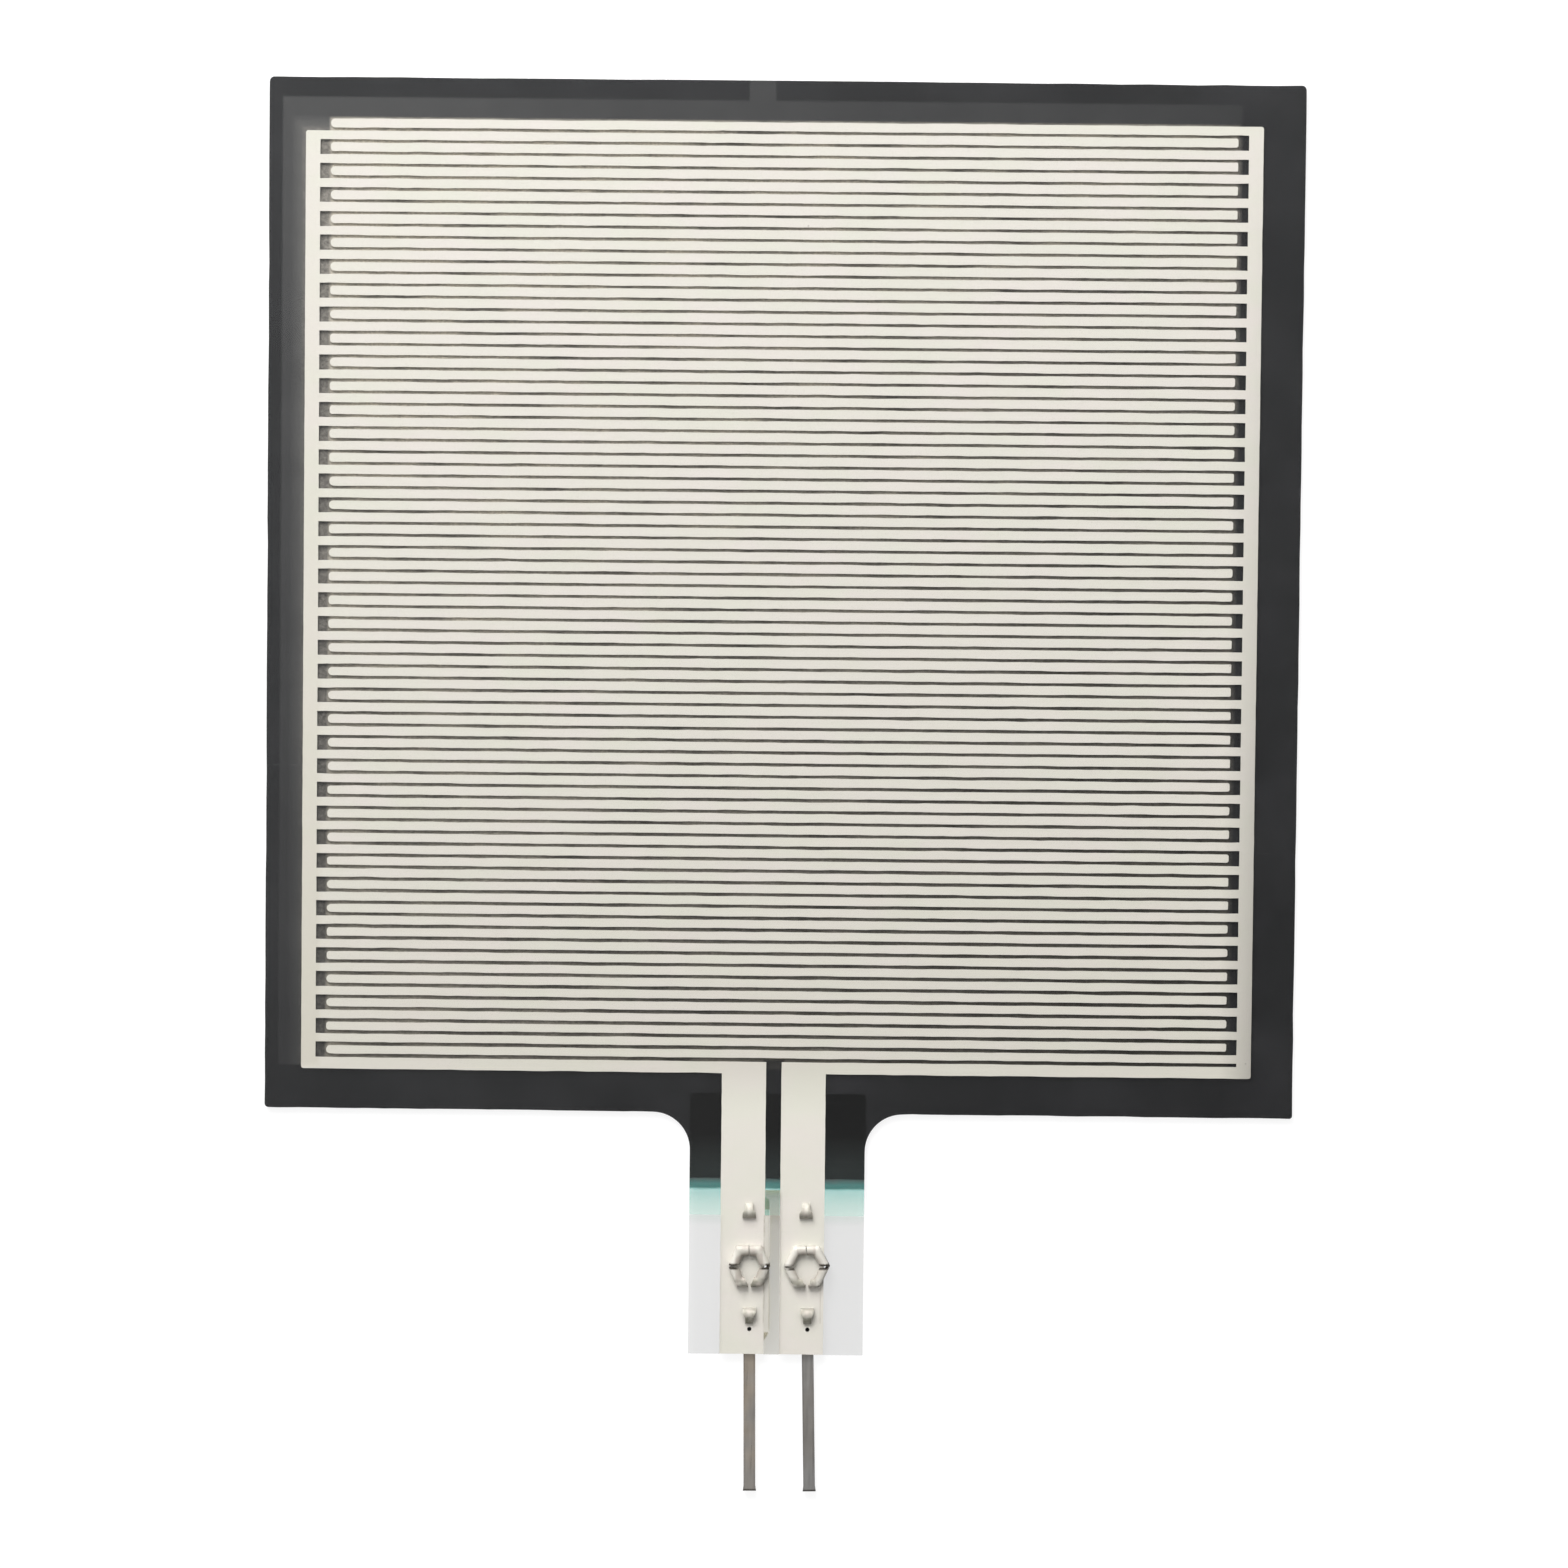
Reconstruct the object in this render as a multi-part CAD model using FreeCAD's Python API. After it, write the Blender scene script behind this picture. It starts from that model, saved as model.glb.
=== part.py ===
"""Square force sensing resistor with a tail and two crimped solder pins.

The part is a laminate that lies flat: paper liner, rear adhesive, back film with its black
force-sensing print, adhesive spacer with a window, and a clear front film that carries two
interleaved silver combs on its underside. Each comb runs down the tail as a wide trace, and a
stamped contact is crimped to it: claws and lances pierce the film from below and curl over it.

Frame: origin at the middle of the square body, on the back of the liner. +X right, +Y away from
the tail, +Z up towards the electrode face. Millimetres.
"""
import FreeCAD
import Part

import math
import os

from FreeCAD import Vector

# Outline of the films
BODY_SIDE = 43.69
BODY_CORNER_RADIUS = 0.20
TAIL_WIDTH = 7.44
TAIL_LENGTH = 10.30
NECK_FILLET_RADIUS = 1.60

# Thickness of each layer, from the back to the front
LINER_THICKNESS = 0.09
REAR_ADHESIVE_THICKNESS = 0.05
BACK_FILM_THICKNESS = 0.13
INK_THICKNESS = 0.012
SPACER_THICKNESS = 0.138
FRONT_FILM_THICKNESS = 0.13
SILVER_THICKNESS = 0.012
INSULATION_THICKNESS = 0.010

# Spacer frame: the window is printed a little left and high of the body
SPACER_LEFT_MARGIN = 0.575
SPACER_RIGHT_MARGIN = 2.695
SPACER_TOP_MARGIN = 0.845
SPACER_BOTTOM_MARGIN = 1.845
WINDOW_CORNER_RADIUS = 0.12
VENT_WIDTH = 1.13
VENT_OFFSET = -1.035

# Interleaved silver combs
SILVER_LEFT_MARGIN = 1.565
SILVER_RIGHT_MARGIN = 1.795
SILVER_TOP_MARGIN = 1.755
SILVER_BOTTOM_MARGIN = 1.705
BUS_WIDTH = 0.61
BAR_WIDTH = 0.49
FINGER_COUNT = 40
FINGER_GAP = 0.133
FINGER_TIP_GAP = 0.45
TRACE_WIDTH = 1.88
TRACE_GAP = 0.65
TRACE_OFFSET = -0.175
TRACE_CORNER_RADIUS = 0.15

# Ends of the layers in the tail, counted from the upper end of the contacts
BACK_FILM_CLEARANCE = 0.34
INK_SETBACK = 0.46
INSULATION_OVERRUN = 1.09
INSULATION_ABOVE_EDGE = 0.85

# Stamped contacts
CRIMP_FROM_TAIL_END = 3.78
CRIMP_PITCH = 2.44
CRIMP_OFFSET = 0.08
LEFT_CONTACT_TURN = 0.55
RIGHT_CONTACT_TURN = 1.20
STOCK_THICKNESS = 0.25
CONTACT_WIDTH = 1.70
CONTACT_END_MARGIN = 0.20
CONTACT_CORNER_RADIUS = 0.20
SHOULDER_LENGTH = 0.55
SHOULDER_PAST_FILM = 0.15
PIN_WIDTH = 0.50
PIN_LENGTH = 5.88
PIN_CHAMFER = 0.06
PIN_END_WIDTH = 0.58
PIN_END_LENGTH = 0.40

# Ring of four claws over the film
LEFT_RING_WIDTH = 1.78
RIGHT_RING_WIDTH = 1.98
RING_HEIGHT = 1.78
RING_FLAT_WIDTH = 1.10
LEFT_CURL_WIDTH = 0.44
RIGHT_CURL_WIDTH = 0.38
CLAW_THICKNESS = 0.13
CLAW_SIDE_GAP = 0.05
CLAW_TOP_GAP = 0.04
CLAW_BOTTOM_GAP = 0.10
CLAW_BOTTOM_GAP_SPREAD = 0.70

# Lances above and below the ring
LANCE_THICKNESS = 0.12
LANCE_ROOT_WIDTH = 0.56
LANCE_TIP_WIDTH = 0.34
LANCE_LENGTH = 0.66
LANCE_RISE = 0.18
UPPER_LANCE_FROM_CRIMP = 2.05
LOWER_LANCE_FROM_CRIMP = 1.80
PRICK_DIAMETER = 0.18
PRICK_FROM_LANCE_TIP = 0.25

# Levels of the stack
LINER_TOP = LINER_THICKNESS
REAR_ADHESIVE_TOP = LINER_TOP + REAR_ADHESIVE_THICKNESS
BACK_FILM_TOP = REAR_ADHESIVE_TOP + BACK_FILM_THICKNESS
INK_TOP = BACK_FILM_TOP + INK_THICKNESS
FRONT_FILM_UNDERSIDE = INK_TOP + SPACER_THICKNESS
FRONT_FILM_TOP = FRONT_FILM_UNDERSIDE + FRONT_FILM_THICKNESS
SILVER_UNDERSIDE = FRONT_FILM_UNDERSIDE - SILVER_THICKNESS
INSULATION_UNDERSIDE = SILVER_UNDERSIDE - INSULATION_THICKNESS
CONTACT_UNDERSIDE = INSULATION_UNDERSIDE - STOCK_THICKNESS

# Lines across the tail
BODY_HALF = BODY_SIDE / 2
TAIL_END = -BODY_HALF - TAIL_LENGTH
CRIMP_LINE = TAIL_END + CRIMP_FROM_TAIL_END
CONTACT_UPPER_REACH = UPPER_LANCE_FROM_CRIMP + LANCE_LENGTH + CONTACT_END_MARGIN
BACK_FILM_END = CRIMP_LINE + CONTACT_UPPER_REACH + BACK_FILM_CLEARANCE
INK_END = BACK_FILM_END + INK_SETBACK
INSULATION_END = BACK_FILM_END - INSULATION_OVERRUN
INSULATION_START = -BODY_HALF + INSULATION_ABOVE_EDGE

# Extent of the combs
SILVER_LEFT = -BODY_HALF + SILVER_LEFT_MARGIN
SILVER_RIGHT = BODY_HALF - SILVER_RIGHT_MARGIN
SILVER_TOP = BODY_HALF - SILVER_TOP_MARGIN
SILVER_BOTTOM = -BODY_HALF + SILVER_BOTTOM_MARGIN
ROW_COUNT = 2 * FINGER_COUNT - 1
FINGER_WIDTH = (SILVER_TOP - SILVER_BOTTOM - BAR_WIDTH) / ROW_COUNT - FINGER_GAP
ROW_PITCH = FINGER_WIDTH + FINGER_GAP


def rounded_face(corners):
    """Face bounded by (x, y, radius) corners, each one rounded by a tangent arc of its radius."""
    points = [Vector(x, y, 0) for x, y, radius in corners]
    spans = []
    for index, (x, y, radius) in enumerate(corners):
        corner = points[index]
        back = (points[index - 1] - corner).normalize()
        ahead = (points[(index + 1) % len(points)] - corner).normalize()
        half_angle = back.getAngle(ahead) / 2
        setback = radius / math.tan(half_angle)
        towards_centre = (back + ahead).normalize() if radius else Vector()
        crown = corner + towards_centre * (radius / math.sin(half_angle) - radius)
        spans.append((corner + back * setback, crown, corner + ahead * setback))
    edges = []
    for index, (start, crown, end) in enumerate(spans):
        if corners[index][2]:
            edges.append(Part.Arc(start, crown, end).toShape())
        following = spans[(index + 1) % len(spans)][0]
        if end.distanceToPoint(following) > 1e-6:
            edges.append(Part.LineSegment(end, following).toShape())
    return Part.Face(Part.Wire(edges))


def plate(corners, bottom, top):
    """Flat plate with a rounded outline between two levels."""
    solid = rounded_face(corners).extrude(Vector(0, 0, top - bottom))
    solid.translate(Vector(0, 0, bottom))
    return solid


def rectangle(left, right, low, high, radius=0.0):
    """Corners of an upright rectangle, counter-clockwise from the lower left."""
    return [(left, low, radius), (right, low, radius), (right, high, radius), (left, high, radius)]


def body_outline():
    """Corners of the square body."""
    return rectangle(-BODY_HALF, BODY_HALF, -BODY_HALF, BODY_HALF, BODY_CORNER_RADIUS)


def tailed_outline(tail_end):
    """Corners of the square body with its tail, filleted at the neck and cut off at tail_end."""
    half_tail = TAIL_WIDTH / 2
    return [
        (-BODY_HALF, BODY_HALF, BODY_CORNER_RADIUS),
        (-BODY_HALF, -BODY_HALF, BODY_CORNER_RADIUS),
        (-half_tail, -BODY_HALF, NECK_FILLET_RADIUS),
        (-half_tail, tail_end, 0.0),
        (half_tail, tail_end, 0.0),
        (half_tail, -BODY_HALF, NECK_FILLET_RADIUS),
        (BODY_HALF, -BODY_HALF, BODY_CORNER_RADIUS),
        (BODY_HALF, BODY_HALF, BODY_CORNER_RADIUS),
    ]


def fused(shapes):
    """One solid from shapes that touch or overlap."""
    return shapes[0].multiFuse(shapes[1:]).removeSplitter()


def spacer_adhesive():
    """Adhesive sheet between the films, open at the window and at the vent in the top edge."""
    sheet = plate(tailed_outline(BACK_FILM_END), INK_TOP, FRONT_FILM_UNDERSIDE)
    window_top = BODY_HALF - SPACER_TOP_MARGIN
    window = rectangle(
        -BODY_HALF + SPACER_LEFT_MARGIN,
        BODY_HALF - SPACER_RIGHT_MARGIN,
        -BODY_HALF + SPACER_BOTTOM_MARGIN,
        window_top,
        WINDOW_CORNER_RADIUS,
    )
    half_vent = VENT_WIDTH / 2
    vent = rectangle(VENT_OFFSET - half_vent, VENT_OFFSET + half_vent, 0.0, BODY_HALF)
    openings = [plate(corners, INK_TOP, FRONT_FILM_UNDERSIDE) for corners in (window, vent)]
    return sheet.cut(openings)


def finger(root, tip, row, tip_radius):
    """One straight finger from the middle of its bus to its round or square tip, on a counted row."""
    high = SILVER_TOP - row * ROW_PITCH
    low = high - FINGER_WIDTH
    corners = [(root, low, 0.0), (tip, low, tip_radius), (tip, high, tip_radius), (root, high, 0.0)]
    return plate(corners, SILVER_UNDERSIDE, FRONT_FILM_UNDERSIDE)


def comb(bus_outer, bus_inner, bus_top, rows, tip, tip_radius, trace_inner, trace_outer):
    """Silver comb: bus down one side, fingers on the given rows, bottom bar and tail trace."""
    bus_middle = (bus_outer + bus_inner) / 2
    bar_top = SILVER_BOTTOM + BAR_WIDTH
    print_corners = [
        (bus_outer, bus_top, 0.0),
        (bus_outer, SILVER_BOTTOM, TRACE_CORNER_RADIUS),
        (trace_outer, SILVER_BOTTOM, TRACE_CORNER_RADIUS),
        (trace_outer, TAIL_END, 0.0),
        (trace_inner, TAIL_END, 0.0),
        (trace_inner, bar_top, TRACE_CORNER_RADIUS),
        (bus_inner, bar_top, 0.0),
        (bus_inner, bus_top, 0.0),
    ]
    frame = plate(print_corners, SILVER_UNDERSIDE, FRONT_FILM_UNDERSIDE)
    fingers = [finger(bus_middle, tip, row, tip_radius) for row in rows]
    return fused([frame] + fingers)


def left_comb():
    """Comb that grows from the left bus, one row below each finger of the other comb."""
    trace_inner = TRACE_OFFSET - TRACE_GAP / 2
    return comb(
        bus_outer=SILVER_LEFT,
        bus_inner=SILVER_LEFT + BUS_WIDTH,
        bus_top=SILVER_TOP - ROW_PITCH,
        rows=range(1, ROW_COUNT, 2),
        tip=SILVER_RIGHT - BUS_WIDTH - FINGER_TIP_GAP,
        tip_radius=0.0,
        trace_inner=trace_inner,
        trace_outer=trace_inner - TRACE_WIDTH,
    )


def right_comb():
    """Comb that grows from the right bus and holds the topmost finger."""
    trace_inner = TRACE_OFFSET + TRACE_GAP / 2
    return comb(
        bus_outer=SILVER_RIGHT,
        bus_inner=SILVER_RIGHT - BUS_WIDTH,
        bus_top=SILVER_TOP,
        rows=range(0, ROW_COUNT, 2),
        tip=SILVER_LEFT + BUS_WIDTH + FINGER_TIP_GAP,
        tip_radius=FINGER_WIDTH / 2,
        trace_inner=trace_inner,
        trace_outer=trace_inner + TRACE_WIDTH,
    )


def insulation_print():
    """Dielectric print across the tail, over the traces and between them."""
    half_tail = TAIL_WIDTH / 2
    corners = rectangle(-half_tail, half_tail, INSULATION_END, INSULATION_START)
    return plate(corners, INSULATION_UNDERSIDE, FRONT_FILM_UNDERSIDE)


def ring_corners(ring_width, inset=0.0):
    """Plan corners of the claw ring, a hexagon that is widest at mid height, inset all round."""
    half_width = ring_width / 2
    half_flat = RING_FLAT_WIDTH / 2
    half_height = RING_HEIGHT / 2
    lean = math.atan2(half_height, half_width - half_flat)
    side = half_width - inset / math.sin(lean)
    level = half_height - inset
    flat = side - level / math.tan(lean)
    return [(side, 0), (flat, level), (-flat, level), (-side, 0), (-flat, -level), (flat, -level)]


def curled_side(start, end, curl_width):
    """Half-round curl along one side of the ring, from the film up and over towards the inside."""
    along = (end - start).normalize()
    inwards = Vector(0, 0, 1).cross(along)
    upwards = Vector(0, 0, 1)
    outer = curl_width / 2
    inner = outer - CLAW_THICKNESS
    centre = start + inwards * outer
    arcs = [
        Part.Arc(centre - inwards * radius, centre + upwards * radius, centre + inwards * radius)
        for radius in (outer, inner)
    ]
    root = Part.LineSegment(centre - inwards * outer, centre - inwards * inner)
    tip = Part.LineSegment(centre + inwards * outer, centre + inwards * inner)
    profile = Part.Wire([arcs[0].toShape(), tip.toShape(), arcs[1].toShape(), root.toShape()])
    return Part.Face(profile).extrude(end - start)


def claw_ring(ring_width, curl_width, leg_length):
    """Four claws: legs that stand in the film, and curls mitred round the ring above it.

    The film's top face is at z = 0, and the legs reach leg_length below it. The gaps between the
    claws widen inwards, because each claw narrows to its tip.
    """
    outer = ring_corners(ring_width)
    legs_inner = ring_corners(ring_width, CLAW_THICKNESS)
    curl_inner = ring_corners(ring_width, curl_width)
    wall = [(x, y, 0.0) for x, y in outer]
    hollow = [(x, y, 0.0) for x, y in legs_inner]
    legs = plate(wall, -leg_length, 0.0).cut(plate(hollow, -leg_length, 0.0))
    parts = [legs]
    for index in range(len(outer)):
        following = (index + 1) % len(outer)
        start = Vector(*outer[index], 0)
        end = Vector(*outer[following], 0)
        mitre = [outer[index], outer[following], curl_inner[following], curl_inner[index]]
        sector = plate([(x, y, 0.0) for x, y in mitre], 0.0, curl_width)
        parts.append(curled_side(start, end, curl_width).common(sector))
    ring = fused(parts)
    reach = max(ring_width, RING_HEIGHT)
    gaps = [
        [(0, 0), (reach, -CLAW_SIDE_GAP), (reach, CLAW_SIDE_GAP)],
        [(0, 0), (-reach, CLAW_SIDE_GAP), (-reach, -CLAW_SIDE_GAP)],
        [(-CLAW_TOP_GAP / 2, 0), (CLAW_TOP_GAP / 2, 0), (CLAW_TOP_GAP / 2, reach), (-CLAW_TOP_GAP / 2, reach)],
        [
            (-CLAW_BOTTOM_GAP_SPREAD / 2, 0),
            (-CLAW_BOTTOM_GAP / 2, -RING_HEIGHT / 2),
            (-CLAW_BOTTOM_GAP / 2, -reach),
            (CLAW_BOTTOM_GAP / 2, -reach),
            (CLAW_BOTTOM_GAP / 2, -RING_HEIGHT / 2),
            (CLAW_BOTTOM_GAP_SPREAD / 2, 0),
        ],
    ]
    cutters = [plate([(x, y, 0.0) for x, y in gap], -leg_length, curl_width) for gap in gaps]
    return ring.cut(cutters)


def lance(leg_length):
    """Tongue that pierces the film at its root and arches over it towards +Y.

    The film's top face is at z = 0, and the leg reaches leg_length below it.
    """
    crown = LANCE_LENGTH * 0.42
    outer = Part.Arc(Vector(0, 0, 0), Vector(0, crown, LANCE_RISE), Vector(0, LANCE_LENGTH, 0))
    inner = Part.Arc(
        Vector(0, LANCE_LENGTH - LANCE_THICKNESS, 0),
        Vector(0, crown, LANCE_RISE - LANCE_THICKNESS),
        Vector(0, LANCE_THICKNESS, 0),
    )
    tip = Part.LineSegment(Vector(0, LANCE_LENGTH, 0), Vector(0, LANCE_LENGTH - LANCE_THICKNESS, 0))
    root = Part.LineSegment(Vector(0, LANCE_THICKNESS, 0), Vector(0, 0, 0))
    profile = Part.Wire([outer.toShape(), tip.toShape(), inner.toShape(), root.toShape()])
    arch = Part.Face(profile).extrude(Vector(LANCE_ROOT_WIDTH, 0, 0))
    arch.translate(Vector(-LANCE_ROOT_WIDTH / 2, 0, 0))
    half_root = LANCE_ROOT_WIDTH / 2
    half_tip = LANCE_TIP_WIDTH / 2
    taper = [
        (-half_root, 0.0, 0.0),
        (half_root, 0.0, 0.0),
        (half_root, LANCE_THICKNESS, 0.0),
        (half_tip, LANCE_LENGTH, 0.05),
        (-half_tip, LANCE_LENGTH, 0.05),
        (-half_root, LANCE_THICKNESS, 0.0),
    ]
    tongue = arch.common(plate(taper, 0.0, LANCE_RISE))
    leg = plate(rectangle(-half_root, half_root, 0.0, LANCE_THICKNESS), -leg_length, 0.0)
    return fused([tongue, leg])


def contact_blank(ring_width):
    """Flat stamping: body with ears for the ring, windows for the tines, shoulder and pin.

    Its upper face is at z = 0 and the crimp centre at the origin.
    """
    half_body = CONTACT_WIDTH / 2
    half_pin = PIN_WIDTH / 2
    half_end = PIN_END_WIDTH / 2
    film_end = -CRIMP_FROM_TAIL_END
    shoulder_end = film_end - SHOULDER_PAST_FILM
    shoulder_start = shoulder_end + SHOULDER_LENGTH
    pin_end = film_end - PIN_LENGTH
    blank = plate(
        [
            (-half_body, CONTACT_UPPER_REACH, CONTACT_CORNER_RADIUS),
            (-half_body, shoulder_start, CONTACT_CORNER_RADIUS),
            (-half_pin, shoulder_end, CONTACT_CORNER_RADIUS),
            (-half_pin, pin_end + PIN_END_LENGTH, 0.0),
            (-half_end, pin_end, 0.0),
            (half_end, pin_end, 0.0),
            (half_pin, pin_end + PIN_END_LENGTH, 0.0),
            (half_pin, shoulder_end, CONTACT_CORNER_RADIUS),
            (half_body, shoulder_start, CONTACT_CORNER_RADIUS),
            (half_body, CONTACT_UPPER_REACH, CONTACT_CORNER_RADIUS),
        ],
        -STOCK_THICKNESS,
        0.0,
    )
    pin_edges = [
        edge for edge in blank.Edges
        if edge.Length > PIN_LENGTH / 2 and edge.CenterOfMass.y < shoulder_end
    ]
    blank = blank.makeChamfer(PIN_CHAMFER, pin_edges)
    ears = plate([(x, y, 0.0) for x, y in ring_corners(ring_width)], -STOCK_THICKNESS, 0.0)
    ring_window = [(x, y, 0.0) for x, y in ring_corners(ring_width, CLAW_THICKNESS)]
    half_window = LANCE_ROOT_WIDTH / 2
    windows = [ring_window]
    for root, direction in ((UPPER_LANCE_FROM_CRIMP, 1), (-LOWER_LANCE_FROM_CRIMP, -1)):
        near = root + direction * LANCE_THICKNESS
        far = root + direction * LANCE_LENGTH
        windows.append(rectangle(-half_window, half_window, min(near, far), max(near, far)))
    cutters = [plate(corners, -STOCK_THICKNESS, 0.0) for corners in windows]
    return fused([blank, ears]).cut(cutters)


def contact(ring_width, curl_width, centre, turn):
    """Crimped contact, turned a little about its crimp as the real ones are."""
    leg_length = FRONT_FILM_TOP - INSULATION_UNDERSIDE
    ring = claw_ring(ring_width, curl_width, leg_length)
    upper_lance = lance(leg_length)
    upper_lance.translate(Vector(0, UPPER_LANCE_FROM_CRIMP, 0))
    lower_lance = lance(leg_length)
    lower_lance.rotate(Vector(), Vector(0, 0, 1), 180)
    lower_lance.translate(Vector(0, -LOWER_LANCE_FROM_CRIMP, 0))
    blank = contact_blank(ring_width)
    blank.translate(Vector(0, 0, -leg_length))
    shape = fused([blank, ring, upper_lance, lower_lance])
    shape.rotate(Vector(), Vector(0, 0, 1), turn)
    shape.translate(Vector(centre, CRIMP_LINE, FRONT_FILM_TOP))
    return shape


def prick(centre, turn):
    """Small hole that the lower lance's point leaves in the film and the silver."""
    distance = LOWER_LANCE_FROM_CRIMP + LANCE_LENGTH + PRICK_FROM_LANCE_TIP
    hole = Part.makeCylinder(
        PRICK_DIAMETER / 2,
        FRONT_FILM_TOP - SILVER_UNDERSIDE,
        Vector(0, -distance, SILVER_UNDERSIDE),
    )
    hole.rotate(Vector(), Vector(0, 0, 1), turn)
    hole.translate(Vector(centre, CRIMP_LINE, 0))
    return hole


def build():
    """All pieces by name, each cut where a contact passes through it."""
    left_centre = CRIMP_OFFSET - CRIMP_PITCH / 2
    right_centre = CRIMP_OFFSET + CRIMP_PITCH / 2
    left = contact(LEFT_RING_WIDTH, LEFT_CURL_WIDTH, left_centre, LEFT_CONTACT_TURN)
    right = contact(RIGHT_RING_WIDTH, RIGHT_CURL_WIDTH, right_centre, RIGHT_CONTACT_TURN)
    contacts = [left, right]
    pricks = [prick(left_centre, LEFT_CONTACT_TURN), prick(right_centre, RIGHT_CONTACT_TURN)]
    piercings = contacts + pricks
    left_silver = left_comb()
    right_silver = right_comb()
    insulation = insulation_print().cut([left_silver, right_silver] + contacts)
    spacer = spacer_adhesive().cut([left_silver, right_silver, insulation])
    return {
        "release_liner": plate(body_outline(), 0.0, LINER_TOP),
        "rear_adhesive": plate(body_outline(), LINER_TOP, REAR_ADHESIVE_TOP),
        "back_film": plate(tailed_outline(BACK_FILM_END), REAR_ADHESIVE_TOP, BACK_FILM_TOP),
        "force_sensing_ink": plate(tailed_outline(INK_END), BACK_FILM_TOP, INK_TOP),
        "spacer_adhesive": spacer,
        "insulation_print": insulation,
        "left_comb": left_silver.cut(piercings),
        "right_comb": right_silver.cut(piercings),
        "front_film": plate(tailed_outline(TAIL_END), FRONT_FILM_UNDERSIDE, FRONT_FILM_TOP).cut(piercings),
        "left_contact": left,
        "right_contact": right,
    }


os.makedirs("parts", exist_ok=True)
for name, shape in build().items():
    shape.exportStep("parts/" + name + ".step")
    print(name, "solids", len(shape.Solids), "volume", round(shape.Volume, 4), "valid", shape.isValid())
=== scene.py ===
"""Dresses a square force sensing resistor: printed silver combs and black ink under clear film."""

import logging
import math
import random
from dataclasses import dataclass, field, replace
from enum import Enum
from functools import cache

import bmesh
import bpy
from bmesh.types import BMesh, BMEdge, BMVert
from mathutils import Euler, Matrix, Vector, noise


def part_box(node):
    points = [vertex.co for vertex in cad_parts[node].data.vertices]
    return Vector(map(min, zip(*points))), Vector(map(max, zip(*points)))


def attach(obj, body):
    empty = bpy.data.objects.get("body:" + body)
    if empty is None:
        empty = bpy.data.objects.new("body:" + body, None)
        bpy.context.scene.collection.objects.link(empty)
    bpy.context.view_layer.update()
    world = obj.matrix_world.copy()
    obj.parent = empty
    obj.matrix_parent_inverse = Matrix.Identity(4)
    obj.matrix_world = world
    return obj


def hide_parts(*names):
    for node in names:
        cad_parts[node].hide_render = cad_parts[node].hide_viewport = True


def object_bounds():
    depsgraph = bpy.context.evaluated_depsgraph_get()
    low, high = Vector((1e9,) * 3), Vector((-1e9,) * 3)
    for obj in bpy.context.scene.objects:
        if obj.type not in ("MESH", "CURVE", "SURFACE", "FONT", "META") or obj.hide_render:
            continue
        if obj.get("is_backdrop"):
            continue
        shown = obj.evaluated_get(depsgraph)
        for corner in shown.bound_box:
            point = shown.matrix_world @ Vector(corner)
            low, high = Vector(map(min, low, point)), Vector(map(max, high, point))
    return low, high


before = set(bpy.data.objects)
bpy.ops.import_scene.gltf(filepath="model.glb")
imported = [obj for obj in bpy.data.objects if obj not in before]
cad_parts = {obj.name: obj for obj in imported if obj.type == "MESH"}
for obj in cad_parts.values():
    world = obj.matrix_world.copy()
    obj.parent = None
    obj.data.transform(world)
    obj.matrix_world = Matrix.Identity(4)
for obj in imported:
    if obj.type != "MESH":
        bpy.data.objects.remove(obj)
CAD_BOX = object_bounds()

logging.basicConfig(level=logging.INFO, format="%(message)s")
LOG = logging.getLogger("sensor")

METRES_PER_MM = 0.001
TOUCHING = 1e-4
ROOT_BODY = "root"
SEED = 11
FAR = 100.0

Colour = tuple[float, float, float]
Stretch = tuple[float, float, float]
Socket = bpy.types.NodeSocket

EVEN: Stretch = (1.0, 1.0, 1.0)


class Slot(Enum):
    """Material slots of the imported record."""

    CLEAR_FILM = "clear_film"
    SILVER_INK = "silver_ink"
    CARBON_INK = "carbon_ink"
    ADHESIVE = "adhesive"
    INSULATION_INK = "insulation_ink"
    LINER_PAPER = "liner_paper"
    TINNED_CONTACT = "tinned_contact"


class Carve(Enum):
    """What a carving tool does to its workpiece."""

    CUT = "DIFFERENCE"
    WELD = "UNION"


@dataclass(frozen=True)
class Span:
    """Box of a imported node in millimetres."""

    left: float
    right: float
    low: float
    high: float
    bottom: float
    top: float

    @classmethod
    @cache
    def of(cls, node: str) -> "Span":
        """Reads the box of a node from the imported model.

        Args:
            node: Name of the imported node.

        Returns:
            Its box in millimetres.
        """
        lowest, highest = (corner / METRES_PER_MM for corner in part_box(node))
        return cls(lowest.x, highest.x, lowest.y, highest.y, lowest.z, highest.z)


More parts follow.
